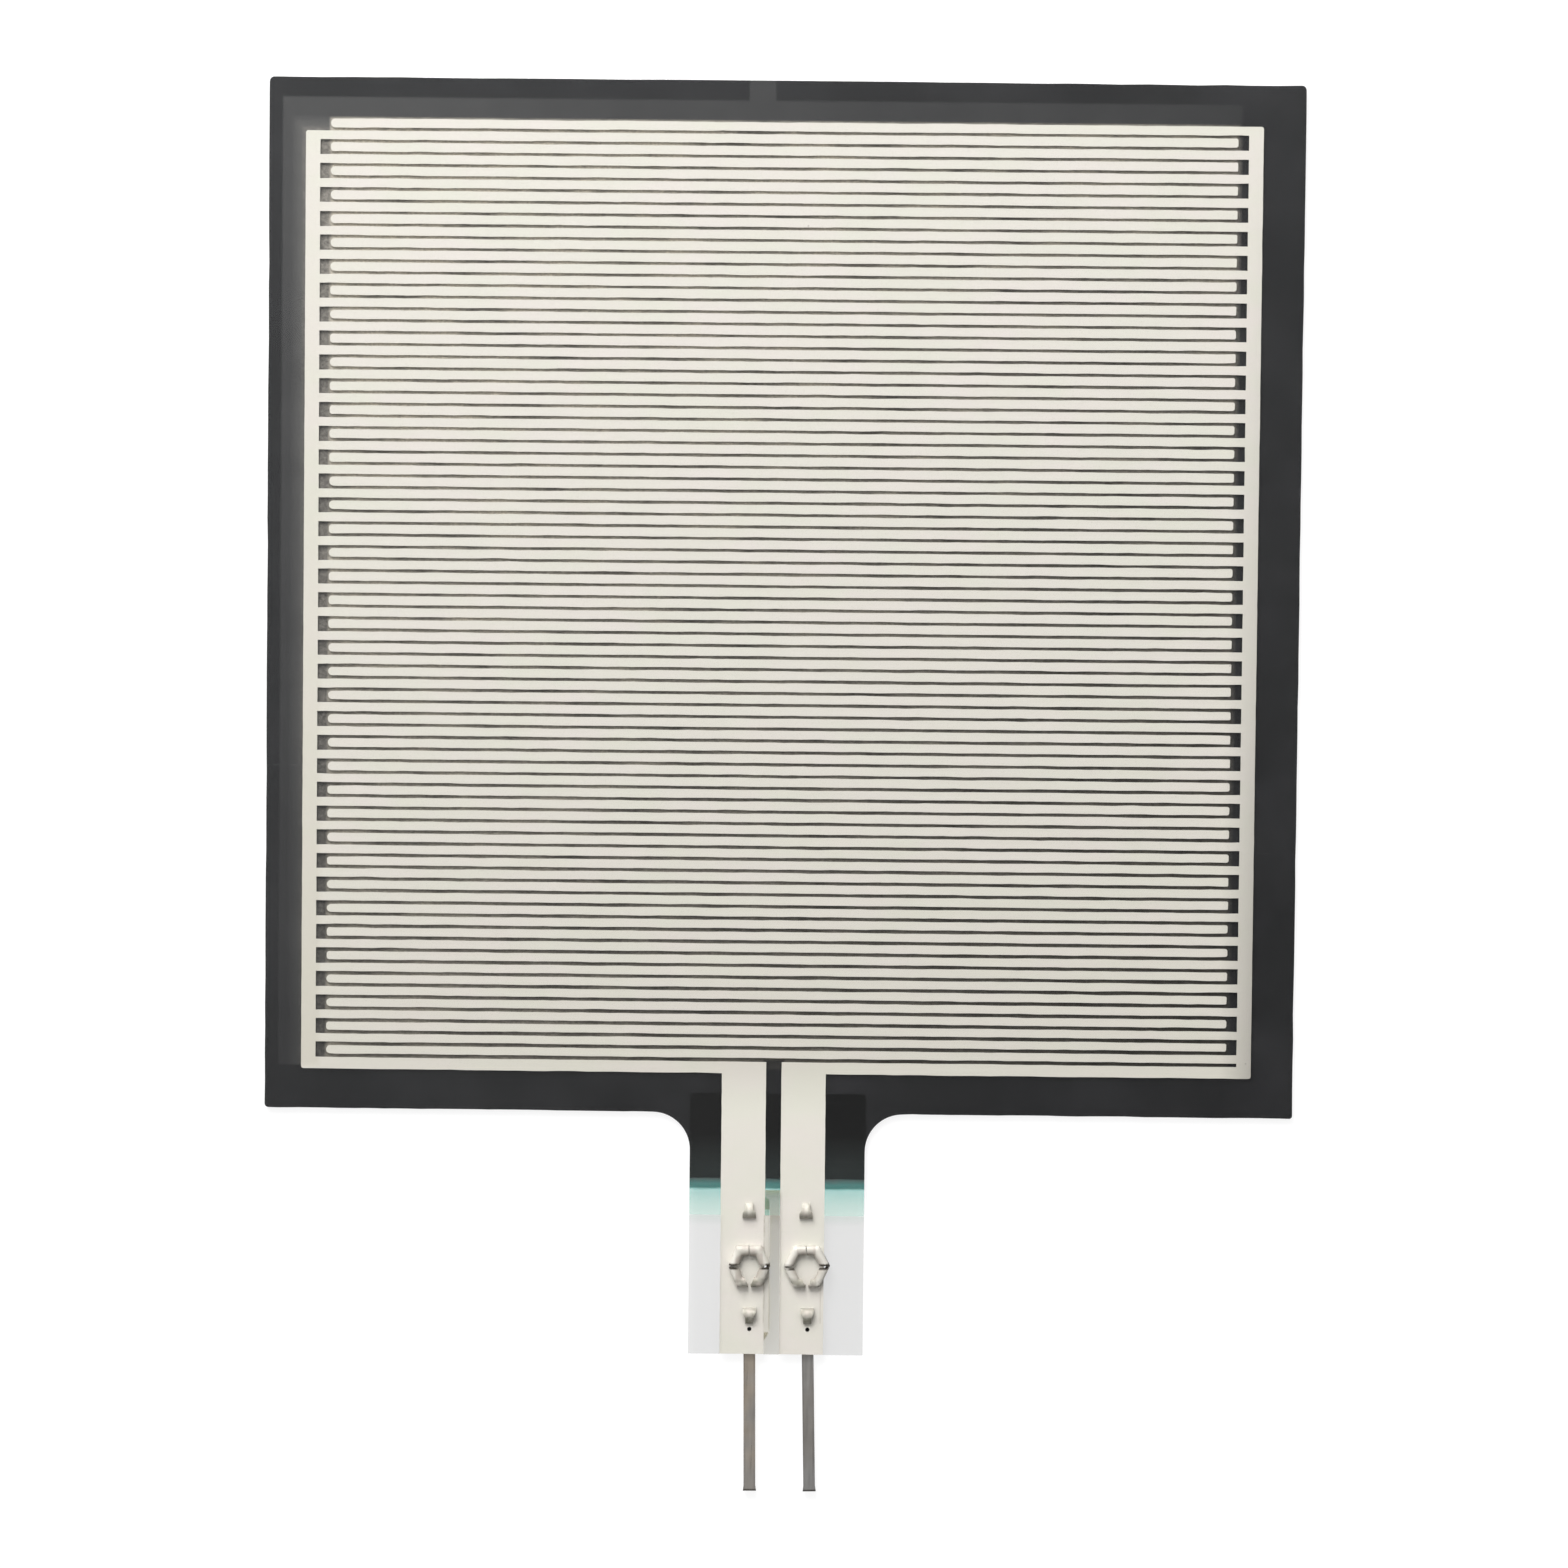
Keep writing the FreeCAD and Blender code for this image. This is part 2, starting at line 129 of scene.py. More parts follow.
@dataclass(frozen=True)
class Layout:
    """Lines of the laminate that several pieces and finishes share, in millimetres."""

    edge: float = Span.of("release_liner").right
    tail_half: float = Span.of("insulation_print").right
    tail_end: float = Span.of("front_film").low
    film_end: float = Span.of("back_film").low
    ink_end: float = Span.of("force_sensing_ink").low
    print_end: float = Span.of("insulation_print").low
    corner_radii: tuple[tuple[int, int, float], ...] = (
        (-1, 1, 0.22), (1, 1, 0.21), (-1, -1, 0.17), (1, -1, 0.13))
    cut_wander: float = 0.045
    neck_radius: float = 1.60
    window_left_margin: float = 0.575
    window_right_margin: float = 2.695
    window_top_margin: float = 0.845
    window_bottom_margin: float = 1.845
    window_radius: float = 0.12
    vent_left: float = -1.60
    vent_right: float = -0.47
    silver_bottom_margin: float = 1.705
    trace_width: float = 1.88
    trace_gap: float = 0.65
    trace_offset: float = -0.175
    shoulder_from_end: float = 0.94

    @property
    def window(self) -> tuple[float, float, float, float]:
        """Left, right, low and high side of the spacer's window."""
        return (-self.edge + self.window_left_margin, self.edge - self.window_right_margin,
                -self.edge + self.window_bottom_margin, self.edge - self.window_top_margin)

    @property
    def shoulder(self) -> float:
        """Where the contacts' bodies narrow towards their pins."""
        return self.tail_end + self.shoulder_from_end

    @property
    def silver_bottom(self) -> float:
        """Lower edge of the bars."""
        return -self.edge + self.silver_bottom_margin

    def trace(self, sign: int) -> tuple[float, float]:
        """Inner and outer side of the left (-1) or right (+1) trace."""
        inner = self.trace_offset + sign * self.trace_gap / 2
        return inner, inner + sign * self.trace_width


LAYOUT = Layout()


@dataclass(frozen=True)
class Field:
    """Output of a node that can be reckoned with: each sign between two fields adds a Math node."""

    nodes: "NodeTree"
    socket: Socket

    def __add__(self, other: "Field | float") -> "Field":
        """Sum of the two."""
        return self.nodes.maths("ADD", self, other)

    def __sub__(self, other: "Field | float") -> "Field":
        """Difference of the two."""
        return self.nodes.maths("SUBTRACT", self, other)

    def __rsub__(self, other: float) -> "Field":
        """Difference of a number and this field."""
        return self.nodes.maths("SUBTRACT", other, self)

    def __mul__(self, other: "Field | float") -> "Field":
        """Product of the two, which is also the overlap of two masks."""
        return self.nodes.maths("MULTIPLY", self, other)

    def __truediv__(self, other: "Field | float") -> "Field":
        """Quotient of the two."""
        return self.nodes.maths("DIVIDE", self, other)

    def __rtruediv__(self, other: float) -> "Field":
        """Quotient of a number and this field."""
        return self.nodes.maths("DIVIDE", other, self)

    def __or__(self, other: "Field | Socket") -> "Field":
        """Larger of the two, which joins two masks."""
        return self.nodes.maths("MAXIMUM", self, other)

    def __and__(self, other: "Field") -> "Field":
        """Smaller of the two."""
        return self.nodes.maths("MINIMUM", self, other)

    def __lt__(self, other: "Field") -> "Field":
        """Mask that is 1 where this field is below the other."""
        return self.nodes.maths("LESS_THAN", self, other)

    def __abs__(self) -> "Field":
        """Size without the sign."""
        return self.nodes.maths("ABSOLUTE", self)

    def clamped(self) -> "Field":
        """The same field, kept between 0 and 1."""
        self.socket.node.use_clamp = True
        return self

    def span(self, low: float, high: float, to_low: float = 0.0, to_high: float = 1.0) -> "Field":
        """Maps one span of this field to another, clamped at both ends."""
        node = self.nodes.add("ShaderNodeMapRange", clamp=True)
        limits = {"From Min": low, "From Max": high, "To Min": to_low, "To Max": to_high}
        for name, amount in limits.items():
            node.inputs[name].default_value = amount
        self.nodes.feed(node.inputs["Value"], self)
        return Field(self.nodes, node.outputs["Result"])

    def blend(self, first: "Field | Colour", second: "Field | Colour") -> "Field":
        """Blends from one colour to another as this field goes from 0 to 1."""
        node = self.nodes.add("ShaderNodeMix", data_type="RGBA")
        for index, source in ((0, self), (6, first), (7, second)):
            self.nodes.feed(node.inputs[index], source)
        return Field(self.nodes, node.outputs[2])

    def scale(self, colour: "Field | Colour") -> "Field":
        """A colour times this field."""
        node = self.nodes.add("ShaderNodeVectorMath", operation="SCALE")
        self.nodes.feed(node.inputs[0], colour)
        self.nodes.feed(node.inputs["Scale"], self)
        return Field(self.nodes, node.outputs[0])


@dataclass
class NodeTree:
    """Thin typed layer over a shader or group node tree."""

    tree: bpy.types.NodeTree

    def add(self, kind: str, **values: object) -> bpy.types.Node:
        """Adds a node and sets its properties.

        Args:
            kind: Node type name, such as ShaderNodeMix.
            values: Node properties by attribute name.

        Returns:
            The new node.
        """
        node = self.tree.nodes.new(kind)
        for name, value in values.items():
            setattr(node, name, value)
        return node

    def feed(self, target: Socket, source: "Field | Socket | float | Colour") -> None:
        """Links a field to an input, or writes a plain value into it.

        Args:
            target: Input socket to fill.
            source: Field or output socket, or the value itself.
        """
        if isinstance(source, Field):
            source = source.socket
        if isinstance(source, bpy.types.NodeSocket):
            self.tree.links.new(source, target)
        elif isinstance(source, tuple) and target.type == "RGBA":
            target.default_value = (*source, 1.0)
        else:
            target.default_value = source

    def maths(self, operation: str, *terms: "Field | Socket | float") -> Field:
        """Adds a Math node over the given terms."""
        node = self.add("ShaderNodeMath", operation=operation)
        for index, term in enumerate(terms):
            self.feed(node.inputs[index], term)
        return Field(self, node.outputs[0])

    def length(self, across: Field, along: Field) -> Field:
        """Length of an arrow in the plane."""
        return self.maths("SQRT", across * across + along * along)

    def place(self, stretch: Stretch = EVEN, turn_deg: float = 0.0) -> Socket:
        """Object coordinates in millimetres, stretched and turned about Z for a pattern."""
        coordinates = self.add("ShaderNodeTexCoord")
        mapping = self.add("ShaderNodeMapping", vector_type="POINT")
        mapping.inputs["Scale"].default_value = [part / METRES_PER_MM for part in stretch]
        mapping.inputs["Rotation"].default_value = (0.0, 0.0, math.radians(turn_deg))
        self.feed(mapping.inputs["Vector"], coordinates.outputs["Object"])
        return mapping.outputs["Vector"]

    def axes(self, turn_deg: float = 0.0) -> tuple[Field, Field]:
        """X and Y of the object coordinates in millimetres."""
        split = self.add("ShaderNodeSeparateXYZ")
        self.feed(split.inputs[0], self.place(turn_deg=turn_deg))
        return Field(self, split.outputs["X"]), Field(self, split.outputs["Y"])

    def noise(self, size: "Field | float", detail: float = 3.0, roughness: float = 0.55,
              stretch: Stretch = EVEN, turn_deg: float = 0.0) -> Field:
        """Noise whose features are about a size in millimetres across, stretched or turned."""
        node = self.add("ShaderNodeTexNoise")
        node.inputs["Detail"].default_value = detail
        node.inputs["Roughness"].default_value = roughness
        self.feed(node.inputs["Scale"], 1.0 / size)
        self.feed(node.inputs["Vector"], self.place(stretch, turn_deg))
        return Field(self, node.outputs["Fac"])

    def group(self, group: bpy.types.NodeTree, **values: float) -> Field:
        """Places a node group, fills its inputs by name and returns its first output."""
        node = self.add("ShaderNodeGroup", node_tree=group)
        for name, value in values.items():
            self.feed(node.inputs[name], value)
        return Field(self, node.outputs[0])


def new_group(name: str, output: str, **inputs: float) -> tuple[NodeTree, dict[str, Field], Socket]:
    """Starts a shader node group with float sockets.

    Args:
        name: Name of the group.
        output: Name of its one output.
        inputs: Inputs with their default values.

    Returns:
        The tree, the fields that the inputs bring in, and the socket that takes the output.
    """
    tree = bpy.data.node_groups.new(name, "ShaderNodeTree")
    for label, value in inputs.items():
        socket = tree.interface.new_socket(label, in_out="INPUT", socket_type="NodeSocketFloat")
        socket.default_value = value
    tree.interface.new_socket(output, in_out="OUTPUT", socket_type="NodeSocketFloat")
    nodes = NodeTree(tree)
    entry = nodes.add("NodeGroupInput")
    leave = nodes.add("NodeGroupOutput")
    return nodes, {label: Field(nodes, entry.outputs[label]) for label in inputs}, leave.inputs[0]


@dataclass(frozen=True)
class Effects:
    """Shader node groups that more than one finish uses."""

    box_mask: bpy.types.NodeTree
    print_grain: bpy.types.NodeTree
    scratches: bpy.types.NodeTree
    specks: bpy.types.NodeTree

    @classmethod
    def build(cls) -> "Effects":
        """Builds each shared effect once."""
        return cls(cls._box_mask(), cls._print_grain(), cls._scratches(), cls._specks())

    @staticmethod
    def _box_mask() -> bpy.types.NodeTree:
        """Mask that is 1 inside an upright rectangle of the XY plane, with a soft edge."""
        nodes, given, result = new_group("box_mask", "Mask", Left=0.0, Right=0.0, Low=0.0, High=0.0,
                                         Softness=0.1)
        across, along = nodes.axes()
        between_sides = (across - given["Left"]) & (given["Right"] - across)
        between_ends = (along - given["Low"]) & (given["High"] - along)
        nodes.feed(result, ((between_sides & between_ends) / given["Softness"] + 0.5).clamped())
        return nodes.tree

    @staticmethod
    def _print_grain() -> bpy.types.NodeTree:
        """Grain of a screen print: the weave of the mesh, broken up by a fine speckle."""
        nodes, given, result = new_group("print_grain", "Grain", Pitch=0.09, Weave=0.3)
        turn = 2.0 * math.pi / given["Pitch"]
        across, along = (nodes.maths("SINE", axis * turn) for axis in nodes.axes(turn_deg=22.5))
        weave = (across * along).span(-1.0, 1.0)
        speckle = nodes.noise(given["Pitch"], 3.0, 0.6).span(0.25, 0.75)
        nodes.feed(result, speckle + (weave - speckle) * given["Weave"])
        return nodes.tree

    @staticmethod
    def _scratches() -> bpy.types.NodeTree:
        """Hair-thin straight scratches in two directions, each broken into short runs."""
        nodes, given, result = new_group("fine_scratches", "Mask", Length=9.0, Amount=0.5)
        length = given["Length"]
        rising = nodes.noise(length, 1.0, 0.5, (1.0, 60.0, 1.0), 24.0).span(0.74, 0.80)
        falling = nodes.noise(length, 1.0, 0.5, (1.0, 80.0, 1.0), -61.0).span(0.74, 0.80)
        nodes.feed(result, (rising | falling) * given["Amount"])
        return nodes.tree

    @staticmethod
    def _specks() -> bpy.types.NodeTree:
        """Sparse small specks of dust or pinholes, one to a cell at most."""
        nodes, given, result = new_group("specks", "Mask", Cell=2.0, Radius=0.03, Share=0.1)
        cells = nodes.add("ShaderNodeTexVoronoi", feature="F1")
        nodes.feed(cells.inputs["Vector"], nodes.place())
        nodes.feed(cells.inputs["Scale"], 1.0 / given["Cell"])
        parts = nodes.add("ShaderNodeSeparateColor")
        nodes.feed(parts.inputs[0], cells.outputs["Color"])
        near = Field(nodes, cells.outputs["Distance"]) < given["Radius"] / given["Cell"]
        chosen = Field(nodes, parts.outputs[0]) < given["Share"]
        nodes.feed(result, near * chosen)
        return nodes.tree


@dataclass
class Canvas(NodeTree):
    """A material's tree, with its shader and the shared effects at hand."""

    shader: bpy.types.Node
    effects: Effects

    def put(self, name: str, source: "Field | float | Colour") -> None:
        """Fills an input of the shader by its name."""
        self.feed(self.shader.inputs[name], source)

    def box(self, left: float, right: float, low: float, high: float, softness: float) -> Field:
        """Mask of an upright rectangle, with a soft edge."""
        return self.group(self.effects.box_mask, Left=left, Right=right, Low=low, High=high,
                          Softness=softness)

    def grain(self, pitch: float, weave: float) -> Field:
        """Grain of a screen print, with a share of the mesh's weave."""
        return self.group(self.effects.print_grain, Pitch=pitch, Weave=weave)

    def scratches(self, length: float, amount: float) -> Field:
        """Mask of hair-thin scratches."""
        return self.group(self.effects.scratches, Length=length, Amount=amount)

    def specks(self, cell: float, radius: float, share: float) -> Field:
        """Mask of sparse round specks."""
        return self.group(self.effects.specks, Cell=cell, Radius=radius, Share=share)

    def outside(self) -> Field:
        """Mask that is 1 where a ray meets a face from its outer side."""
        return 1.0 - Field(self, self.add("ShaderNodeNewGeometry").outputs["Backfacing"])

    def bump(self, height: Field, depth: float, strength: float) -> None:
        """Drives the shader's normal from a height.

        Args:
            height: Height from 0 to 1.
            depth: Height of 1, in millimetres.
            strength: Share of the effect.
        """
        node = self.add("ShaderNodeBump")
        node.inputs["Distance"].default_value = depth * METRES_PER_MM
        node.inputs["Strength"].default_value = strength
        self.feed(node.inputs["Height"], height)
        self.put("Normal", Field(self, node.outputs["Normal"]))


class Finish:
    """Base of the finishes: makes the material, and leaves its nodes to each finish."""

    name = "finish"

    def material(self, effects: Effects) -> bpy.types.Material:
        """Makes the material.

        Args:
            effects: The shared node groups.

        Returns:
            The finished material.
        """
        material = bpy.data.materials.new(self.name)
        material.use_nodes = True
        tree = material.node_tree
        self.dress(Canvas(tree, tree.nodes["Principled BSDF"], effects))
        return material

    def dress(self, canvas: Canvas) -> None:
        """Wires the finish into its shader."""
        raise NotImplementedError


@dataclass(frozen=True)
class ClearFilm(Finish):
    """Clear polyester film: gloss from its outer faces only, with faint haze and handling marks, and
    painted shade on the tail's underside.
    """

    name: str = "clear_polyester_film"
    index: float = 1.58
    haze: float = 0.006
    bare_shade: float = 0.24
    white: Colour = (0.93, 0.94, 0.95)
    shadow: Colour = (0.10, 0.10, 0.085)
    green_shadow: Colour = (0.05, 0.24, 0.14)
    warm_shadow: Colour = (0.24, 0.20, 0.045)

    def dress(self, canvas: Canvas) -> None:
        """Gloss by Fresnel in the alpha, so that the layers below keep their colour; the tail's underside
        carries painted shade.
        """
        scratches = canvas.scratches(7.0, 0.03)
        dust = canvas.specks(2.6, 0.07, 0.10)
        fresnel = canvas.add("ShaderNodeFresnel")
        fresnel.inputs["IOR"].default_value = self.index
        gloss = Field(canvas, fresnel.outputs[0]) + (scratches + dust * 0.06 + self.haze)
        outside = canvas.outside()
        inside = 1.0 - outside
        _, along = canvas.axes()
        below_print = along.span(LAYOUT.print_end + 0.02, LAYOUT.print_end - 0.02)
        green_shadow_share = along.span(LAYOUT.print_end - 0.45, LAYOUT.print_end - 0.02)
        level = ((green_shadow_share * 0.3 + 0.55) * below_print + 0.45) * self.bare_shade
        gap = self._gap(canvas)
        # painted shade on the tail's underside: grey, green-tinted just below the print, warmer between the
        # traces
        shade = inside * (self._bare(canvas) * (gap + level))
        canvas.put("Alpha", gloss * outside + shade)
        shadow = green_shadow_share.blend(self.shadow, self.green_shadow)
        shadow = (gap * 6.0).blend(shadow, self.warm_shadow)
        canvas.put("Base Color", inside.blend(self.white, shadow))
        canvas.put("Metallic", outside * 0.95)
        canvas.put("Roughness", canvas.noise(9.0, 2.0).span(0.3, 0.7, 0.06, 0.11) + scratches)
        canvas.bump(canvas.noise(7.0, 1.0), 0.05, 0.3)

    @staticmethod
    def _bare(canvas: Canvas) -> Field:
        """Mask of the tail's bare underside, away from the traces and the left contact's strip, where shade
        is painted.
        """
        tail = canvas.box(-FAR, FAR, -FAR, LAYOUT.film_end, 0.05)
        for sign in (-1, 1):
            left, right = sorted(LAYOUT.trace(sign))
            tail = tail * (1.0 - canvas.box(left, right, -FAR, 0.0, 0.02))
        strip = canvas.box(LAYOUT.trace(-1)[0] - 0.05, Span.of("left_contact").right - 0.04,
                           LAYOUT.shoulder, LAYOUT.print_end + 0.25, 0.04)
        return tail * (1.0 - strip)

    @staticmethod
    def _gap(canvas: Canvas) -> Field:
        """Added shade between the traces, where the two contacts below keep the light out."""
        gap = canvas.box(LAYOUT.trace(-1)[0], LAYOUT.trace(1)[0], -FAR, LAYOUT.film_end, 0.05)
        _, along = canvas.axes()
        fading = along.span(LAYOUT.tail_end, LAYOUT.print_end, 0.17, 0.36)
        below_contacts = along.span(LAYOUT.film_end, LAYOUT.film_end - 0.35, 1.5, 0.95)
        return gap * (fading * below_contacts)


@dataclass(frozen=True)
class SilverInk(Finish):
    """Screen-printed silver, seen through film: warm ivory with faint tints, grain and pinholes, with
    painted shade towards the bottom and painted shadow lines along the contacts' edges.
    """

    name: str = "printed_silver_ink"
    ivory: Colour = (0.735, 0.709, 0.642)
    rosy: Colour = (0.750, 0.702, 0.655)
    greenish: Colour = (0.715, 0.708, 0.618)
    shade: Colour = (0.62, 0.59, 0.50)
    pinhole: Colour = (0.36, 0.34, 0.30)
    edge_shadow: Colour = (0.40, 0.36, 0.29)
    painted_bus_shade: float = 0.66
    tail_lift: float = 1.11
    edge_shadow_width: float = 0.05

    def dress(self, canvas: Canvas) -> None:
        """Mottled ivory with print grain in colour, roughness and bump."""
        tint = canvas.noise(1.7, 2.0, stretch=(0.5, 1.0, 1.0)).span(0.38, 0.62)
        calm = canvas.noise(7.0, 2.0).span(0.35, 0.65, 0.15, 0.7)
        colour = calm.blend(tint.blend(self.greenish, self.rosy), self.ivory)
        grain = canvas.grain(0.11, 0.25)
        colour = grain.span(0.55, 1.0, 0.0, 0.35).blend(colour, self.shade)
        # painted shade, darker towards the bottom
        colour = self._painted_falloff_shade(canvas).blend(colour, self.shade)
        # painted shadow lines along the trace's and the contact's edges
        colour = self._painted_edge_shadows(canvas).blend(colour, self.edge_shadow)
        colour = (canvas.specks(0.9, 0.045, 0.05) * 0.45).blend(colour, self.pinhole)
        # painted shade darkens the right bus towards the bottom
        canvas.put("Base Color", self._painted_bus_shade_and_tail_brightening(canvas).scale(colour))
        canvas.put("Roughness", grain.span(0.0, 1.0, 0.42, 0.58))
        canvas.put("Specular IOR Level", 0.25)
        canvas.bump(grain, 0.004, 0.5)

    def _painted_edge_shadows(self, canvas: Canvas) -> Field:
        """Mask of two thin painted shadow lines in the traces, along the left trace's inner edge and over
        the right contact's body edge below.
        """
        low = LAYOUT.shoulder + 0.4
        first = LAYOUT.trace(-1)[0] - 0.045
        second = LAYOUT.trace(1)[1] - 0.16
        line = canvas.box(first, first + self.edge_shadow_width, low, LAYOUT.print_end, 0.05)
        faint = canvas.box(second, second + self.edge_shadow_width, low, LAYOUT.tail_end + 3.145, 0.05)
        return (line * 0.75 | faint * 0.40) * canvas.noise(0.5, 2.0).span(0.35, 0.6, 0.35, 1.0)

    @staticmethod
    def _painted_falloff_shade(canvas: Canvas) -> Field:
        """Share of painted shade, darker and warmer down the fingers a little, and more down the left bus.
        """
        left, _, low, high = LAYOUT.window
        _, along = canvas.axes()
        down = along.span(high, low) * along.span(-LAYOUT.edge, low)
        bus = canvas.box(left, Span.of("right_comb").left - 0.3, low, high, 0.25)
        return down * down * 0.30 + down * bus * 0.45

    def _painted_bus_shade_and_tail_brightening(self, canvas: Canvas) -> Field:
        """Brightness of the print: painted shade on the right bus, darker towards the bottom, and brighter
        from the window's foot onto the tail.
        """
        _, right, low, high = LAYOUT.window
        _, along = canvas.axes()
        # painted shade on the right bus, growing towards the bottom
        depth = canvas.box(right + 0.2, LAYOUT.edge, low - 0.6, high, 1.3) * along.span(high, low)
        on_tail = along.span(low, -LAYOUT.edge, 1.0, self.tail_lift)
        return depth.span(0.0, 1.0, 1.0, self.painted_bus_shade) * on_tail


@dataclass(frozen=True)
class CarbonInk(Finish):
    """Black force-sensing print: wetted dark under the spacer, paler where air lies over it, with a painted
    sheen towards the upper left.
    """

    name: str = "force_sensing_carbon_ink"
    wetted: Colour = (0.0052, 0.0055, 0.0065)
    smeared: Colour = (0.016, 0.016, 0.018)
    browned: Colour = (0.014, 0.012, 0.007)
    airy: Colour = (0.054, 0.054, 0.054)
    near_silver: Colour = (0.130, 0.128, 0.122)
    pocket: Colour = (0.225, 0.21, 0.185)
    painted_glow: Colour = (0.68, 0.63, 0.53)

    def dress(self, canvas: Canvas) -> None:
        """Tone by where the spacer's window leaves air above the print, under a painted sheen brighter
        towards the upper left.
        """
        across, along = canvas.axes()
        # painted sheen: brighter towards the upper left, darker to the lower right
        painted_sheen = (along - across * 0.75).span(-36.0, 34.0, 0.06, 1.0)
        left, right, low, high = LAYOUT.window
        window = canvas.box(left, right, low, high, 0.12)
        vent = canvas.box(LAYOUT.vent_left, LAYOUT.vent_right, 0.0, FAR, 0.12)
        air = self._between_fingers(canvas, painted_sheen, self._beside_silver(canvas, painted_sheen))
        throat = canvas.box(LAYOUT.trace(-1)[0] - 0.1, LAYOUT.trace(1)[0] + 0.1, low - 1.0, low + 0.42,
                            0.12)
        air = (throat * 0.88).blend(air, self.wetted)
        smear = canvas.noise(5.5, 4.0, 0.6).span(0.42, 0.70)
        colour = (window | vent).blend(smear.blend(self.wetted, self.smeared), air)
        grain = canvas.grain(0.10, 0.0)
        canvas.put("Base Color", grain.span(0.0, 1.0, 0.80, 1.20).scale(colour))
        canvas.put("Roughness", grain.span(0.0, 1.0, 0.55, 0.75))
        canvas.put("Specular IOR Level", 0.10)
        canvas.bump(grain, 0.004, 0.2)

    def _beside_silver(self, canvas: Canvas, painted_sheen: Field) -> Field:
        """Tone under air: grey by the border, paler near the silver and in the pockets of the combs, its
        share set by the painted sheen.
        """
        left_silver = Span.of("left_comb")
        area = (left_silver.left, Span.of("right_comb").right, LAYOUT.window[2], left_silver.high)
        near = canvas.box(*area, 1.3)
        strip = (near * 2.0).blend(self.airy, self.near_silver)
        speckle = canvas.noise(0.16, 2.0, 0.7).span(0.34, 0.66, 0.66, 1.34)
        air = canvas.box(*area, 0.4).blend(strip, speckle.scale(self.pocket))
        sheen_air_share = (painted_sheen * painted_sheen).span(0.0, 1.0, 0.12, 1.0)
        cloud = canvas.noise(4.2, 4.0, 0.6).span(0.3, 0.7, 0.78, 1.18)
        return (sheen_air_share * cloud).blend(self.wetted, air)

    def _between_fingers(self, canvas: Canvas, painted_sheen: Field, air: Field) -> Field:
        """Adds the broken lines between the fingers, with a painted glow of light from the silver."""
        right_silver = Span.of("right_comb")
        fingers = canvas.box(right_silver.left, Span.of("left_comb").right, LAYOUT.window[2],
                             right_silver.high, 0.2)
        # painted glow between the fingers, strongest under the painted sheen
        glow = painted_sheen * painted_sheen.span(0.0, 1.0, 0.62, 1.0)
        broken = canvas.noise(1.1, 4.0, 0.7, (0.4, 1.0, 1.0)).span(0.32, 0.68, 0.40, 1.65)
        return fingers.blend(air, (glow * broken).blend(self.browned, self.painted_glow))


@dataclass(frozen=True)
class ClearAdhesive(Finish):
    """Clear acrylic adhesive: almost nothing but a faint veil and trapped bubbles."""

    name: str = "clear_acrylic_adhesive"
    haze: float = 0.006
    veil: Colour = (0.62, 0.62, 0.58)
    bubble: Colour = (0.85, 0.85, 0.82)

    def dress(self, canvas: Canvas) -> None:
        """Faint alpha on the outer faces, thicker at small bubbles."""
        bubbles = canvas.specks(1.6, 0.06, 0.06)
        cloud = canvas.noise(4.0).span(0.35, 0.7, 0.4 * self.haze, 1.6 * self.haze)
        canvas.put("Alpha", (cloud + bubbles * 0.03) * canvas.outside())
        canvas.put("Base Color", bubbles.blend(self.veil, self.bubble))
        canvas.put("Roughness", canvas.noise(1.2).span(0.3, 0.7, 0.2, 0.35))


@dataclass(frozen=True)
class InsulationInk(Finish):
    """Green dielectric: dark over the black ink, teal over the back film, and a fading mint beyond."""

    name: str = "green_dielectric_print"
    over_ink: Colour = (0.014, 0.020, 0.019)
    teal: Colour = (0.010, 0.165, 0.145)
    mint: Colour = (0.11, 0.60, 0.54)
    thin_mint: Colour = (0.46, 0.84, 0.71)

    def dress(self, canvas: Canvas) -> None:
        """Colour and cover by the distance along the tail."""
        _, along = canvas.axes()
        along = along + canvas.noise(1.1, 2.0).span(0.3, 0.7, -0.02, 0.02)
        over_film = along.span(LAYOUT.film_end - 0.02, LAYOUT.film_end + 0.09)
        over_ink = along.span(LAYOUT.ink_end - 0.22, LAYOUT.ink_end + 0.05)
        thickness = along.span(LAYOUT.print_end, LAYOUT.film_end)
        colour = over_film.blend(thickness.blend(self.thin_mint, self.mint), self.teal)
        colour = over_ink.blend(colour, self.over_ink)
        cover = thickness.span(0.0, 1.0, 0.42, 0.54) + over_film * 0.38
        cover = cover * along.span(LAYOUT.ink_end + 1.9, LAYOUT.ink_end + 0.4)
        grain = canvas.grain(0.12, 0.3)
        canvas.put("Alpha", cover * canvas.outside())
        canvas.put("Base Color", grain.span(0.0, 1.0, 0.96, 1.04).scale(colour))
        canvas.put("Roughness", grain.span(0.0, 1.0, 0.35, 0.5))
        canvas.put("Specular IOR Level", 0.1)


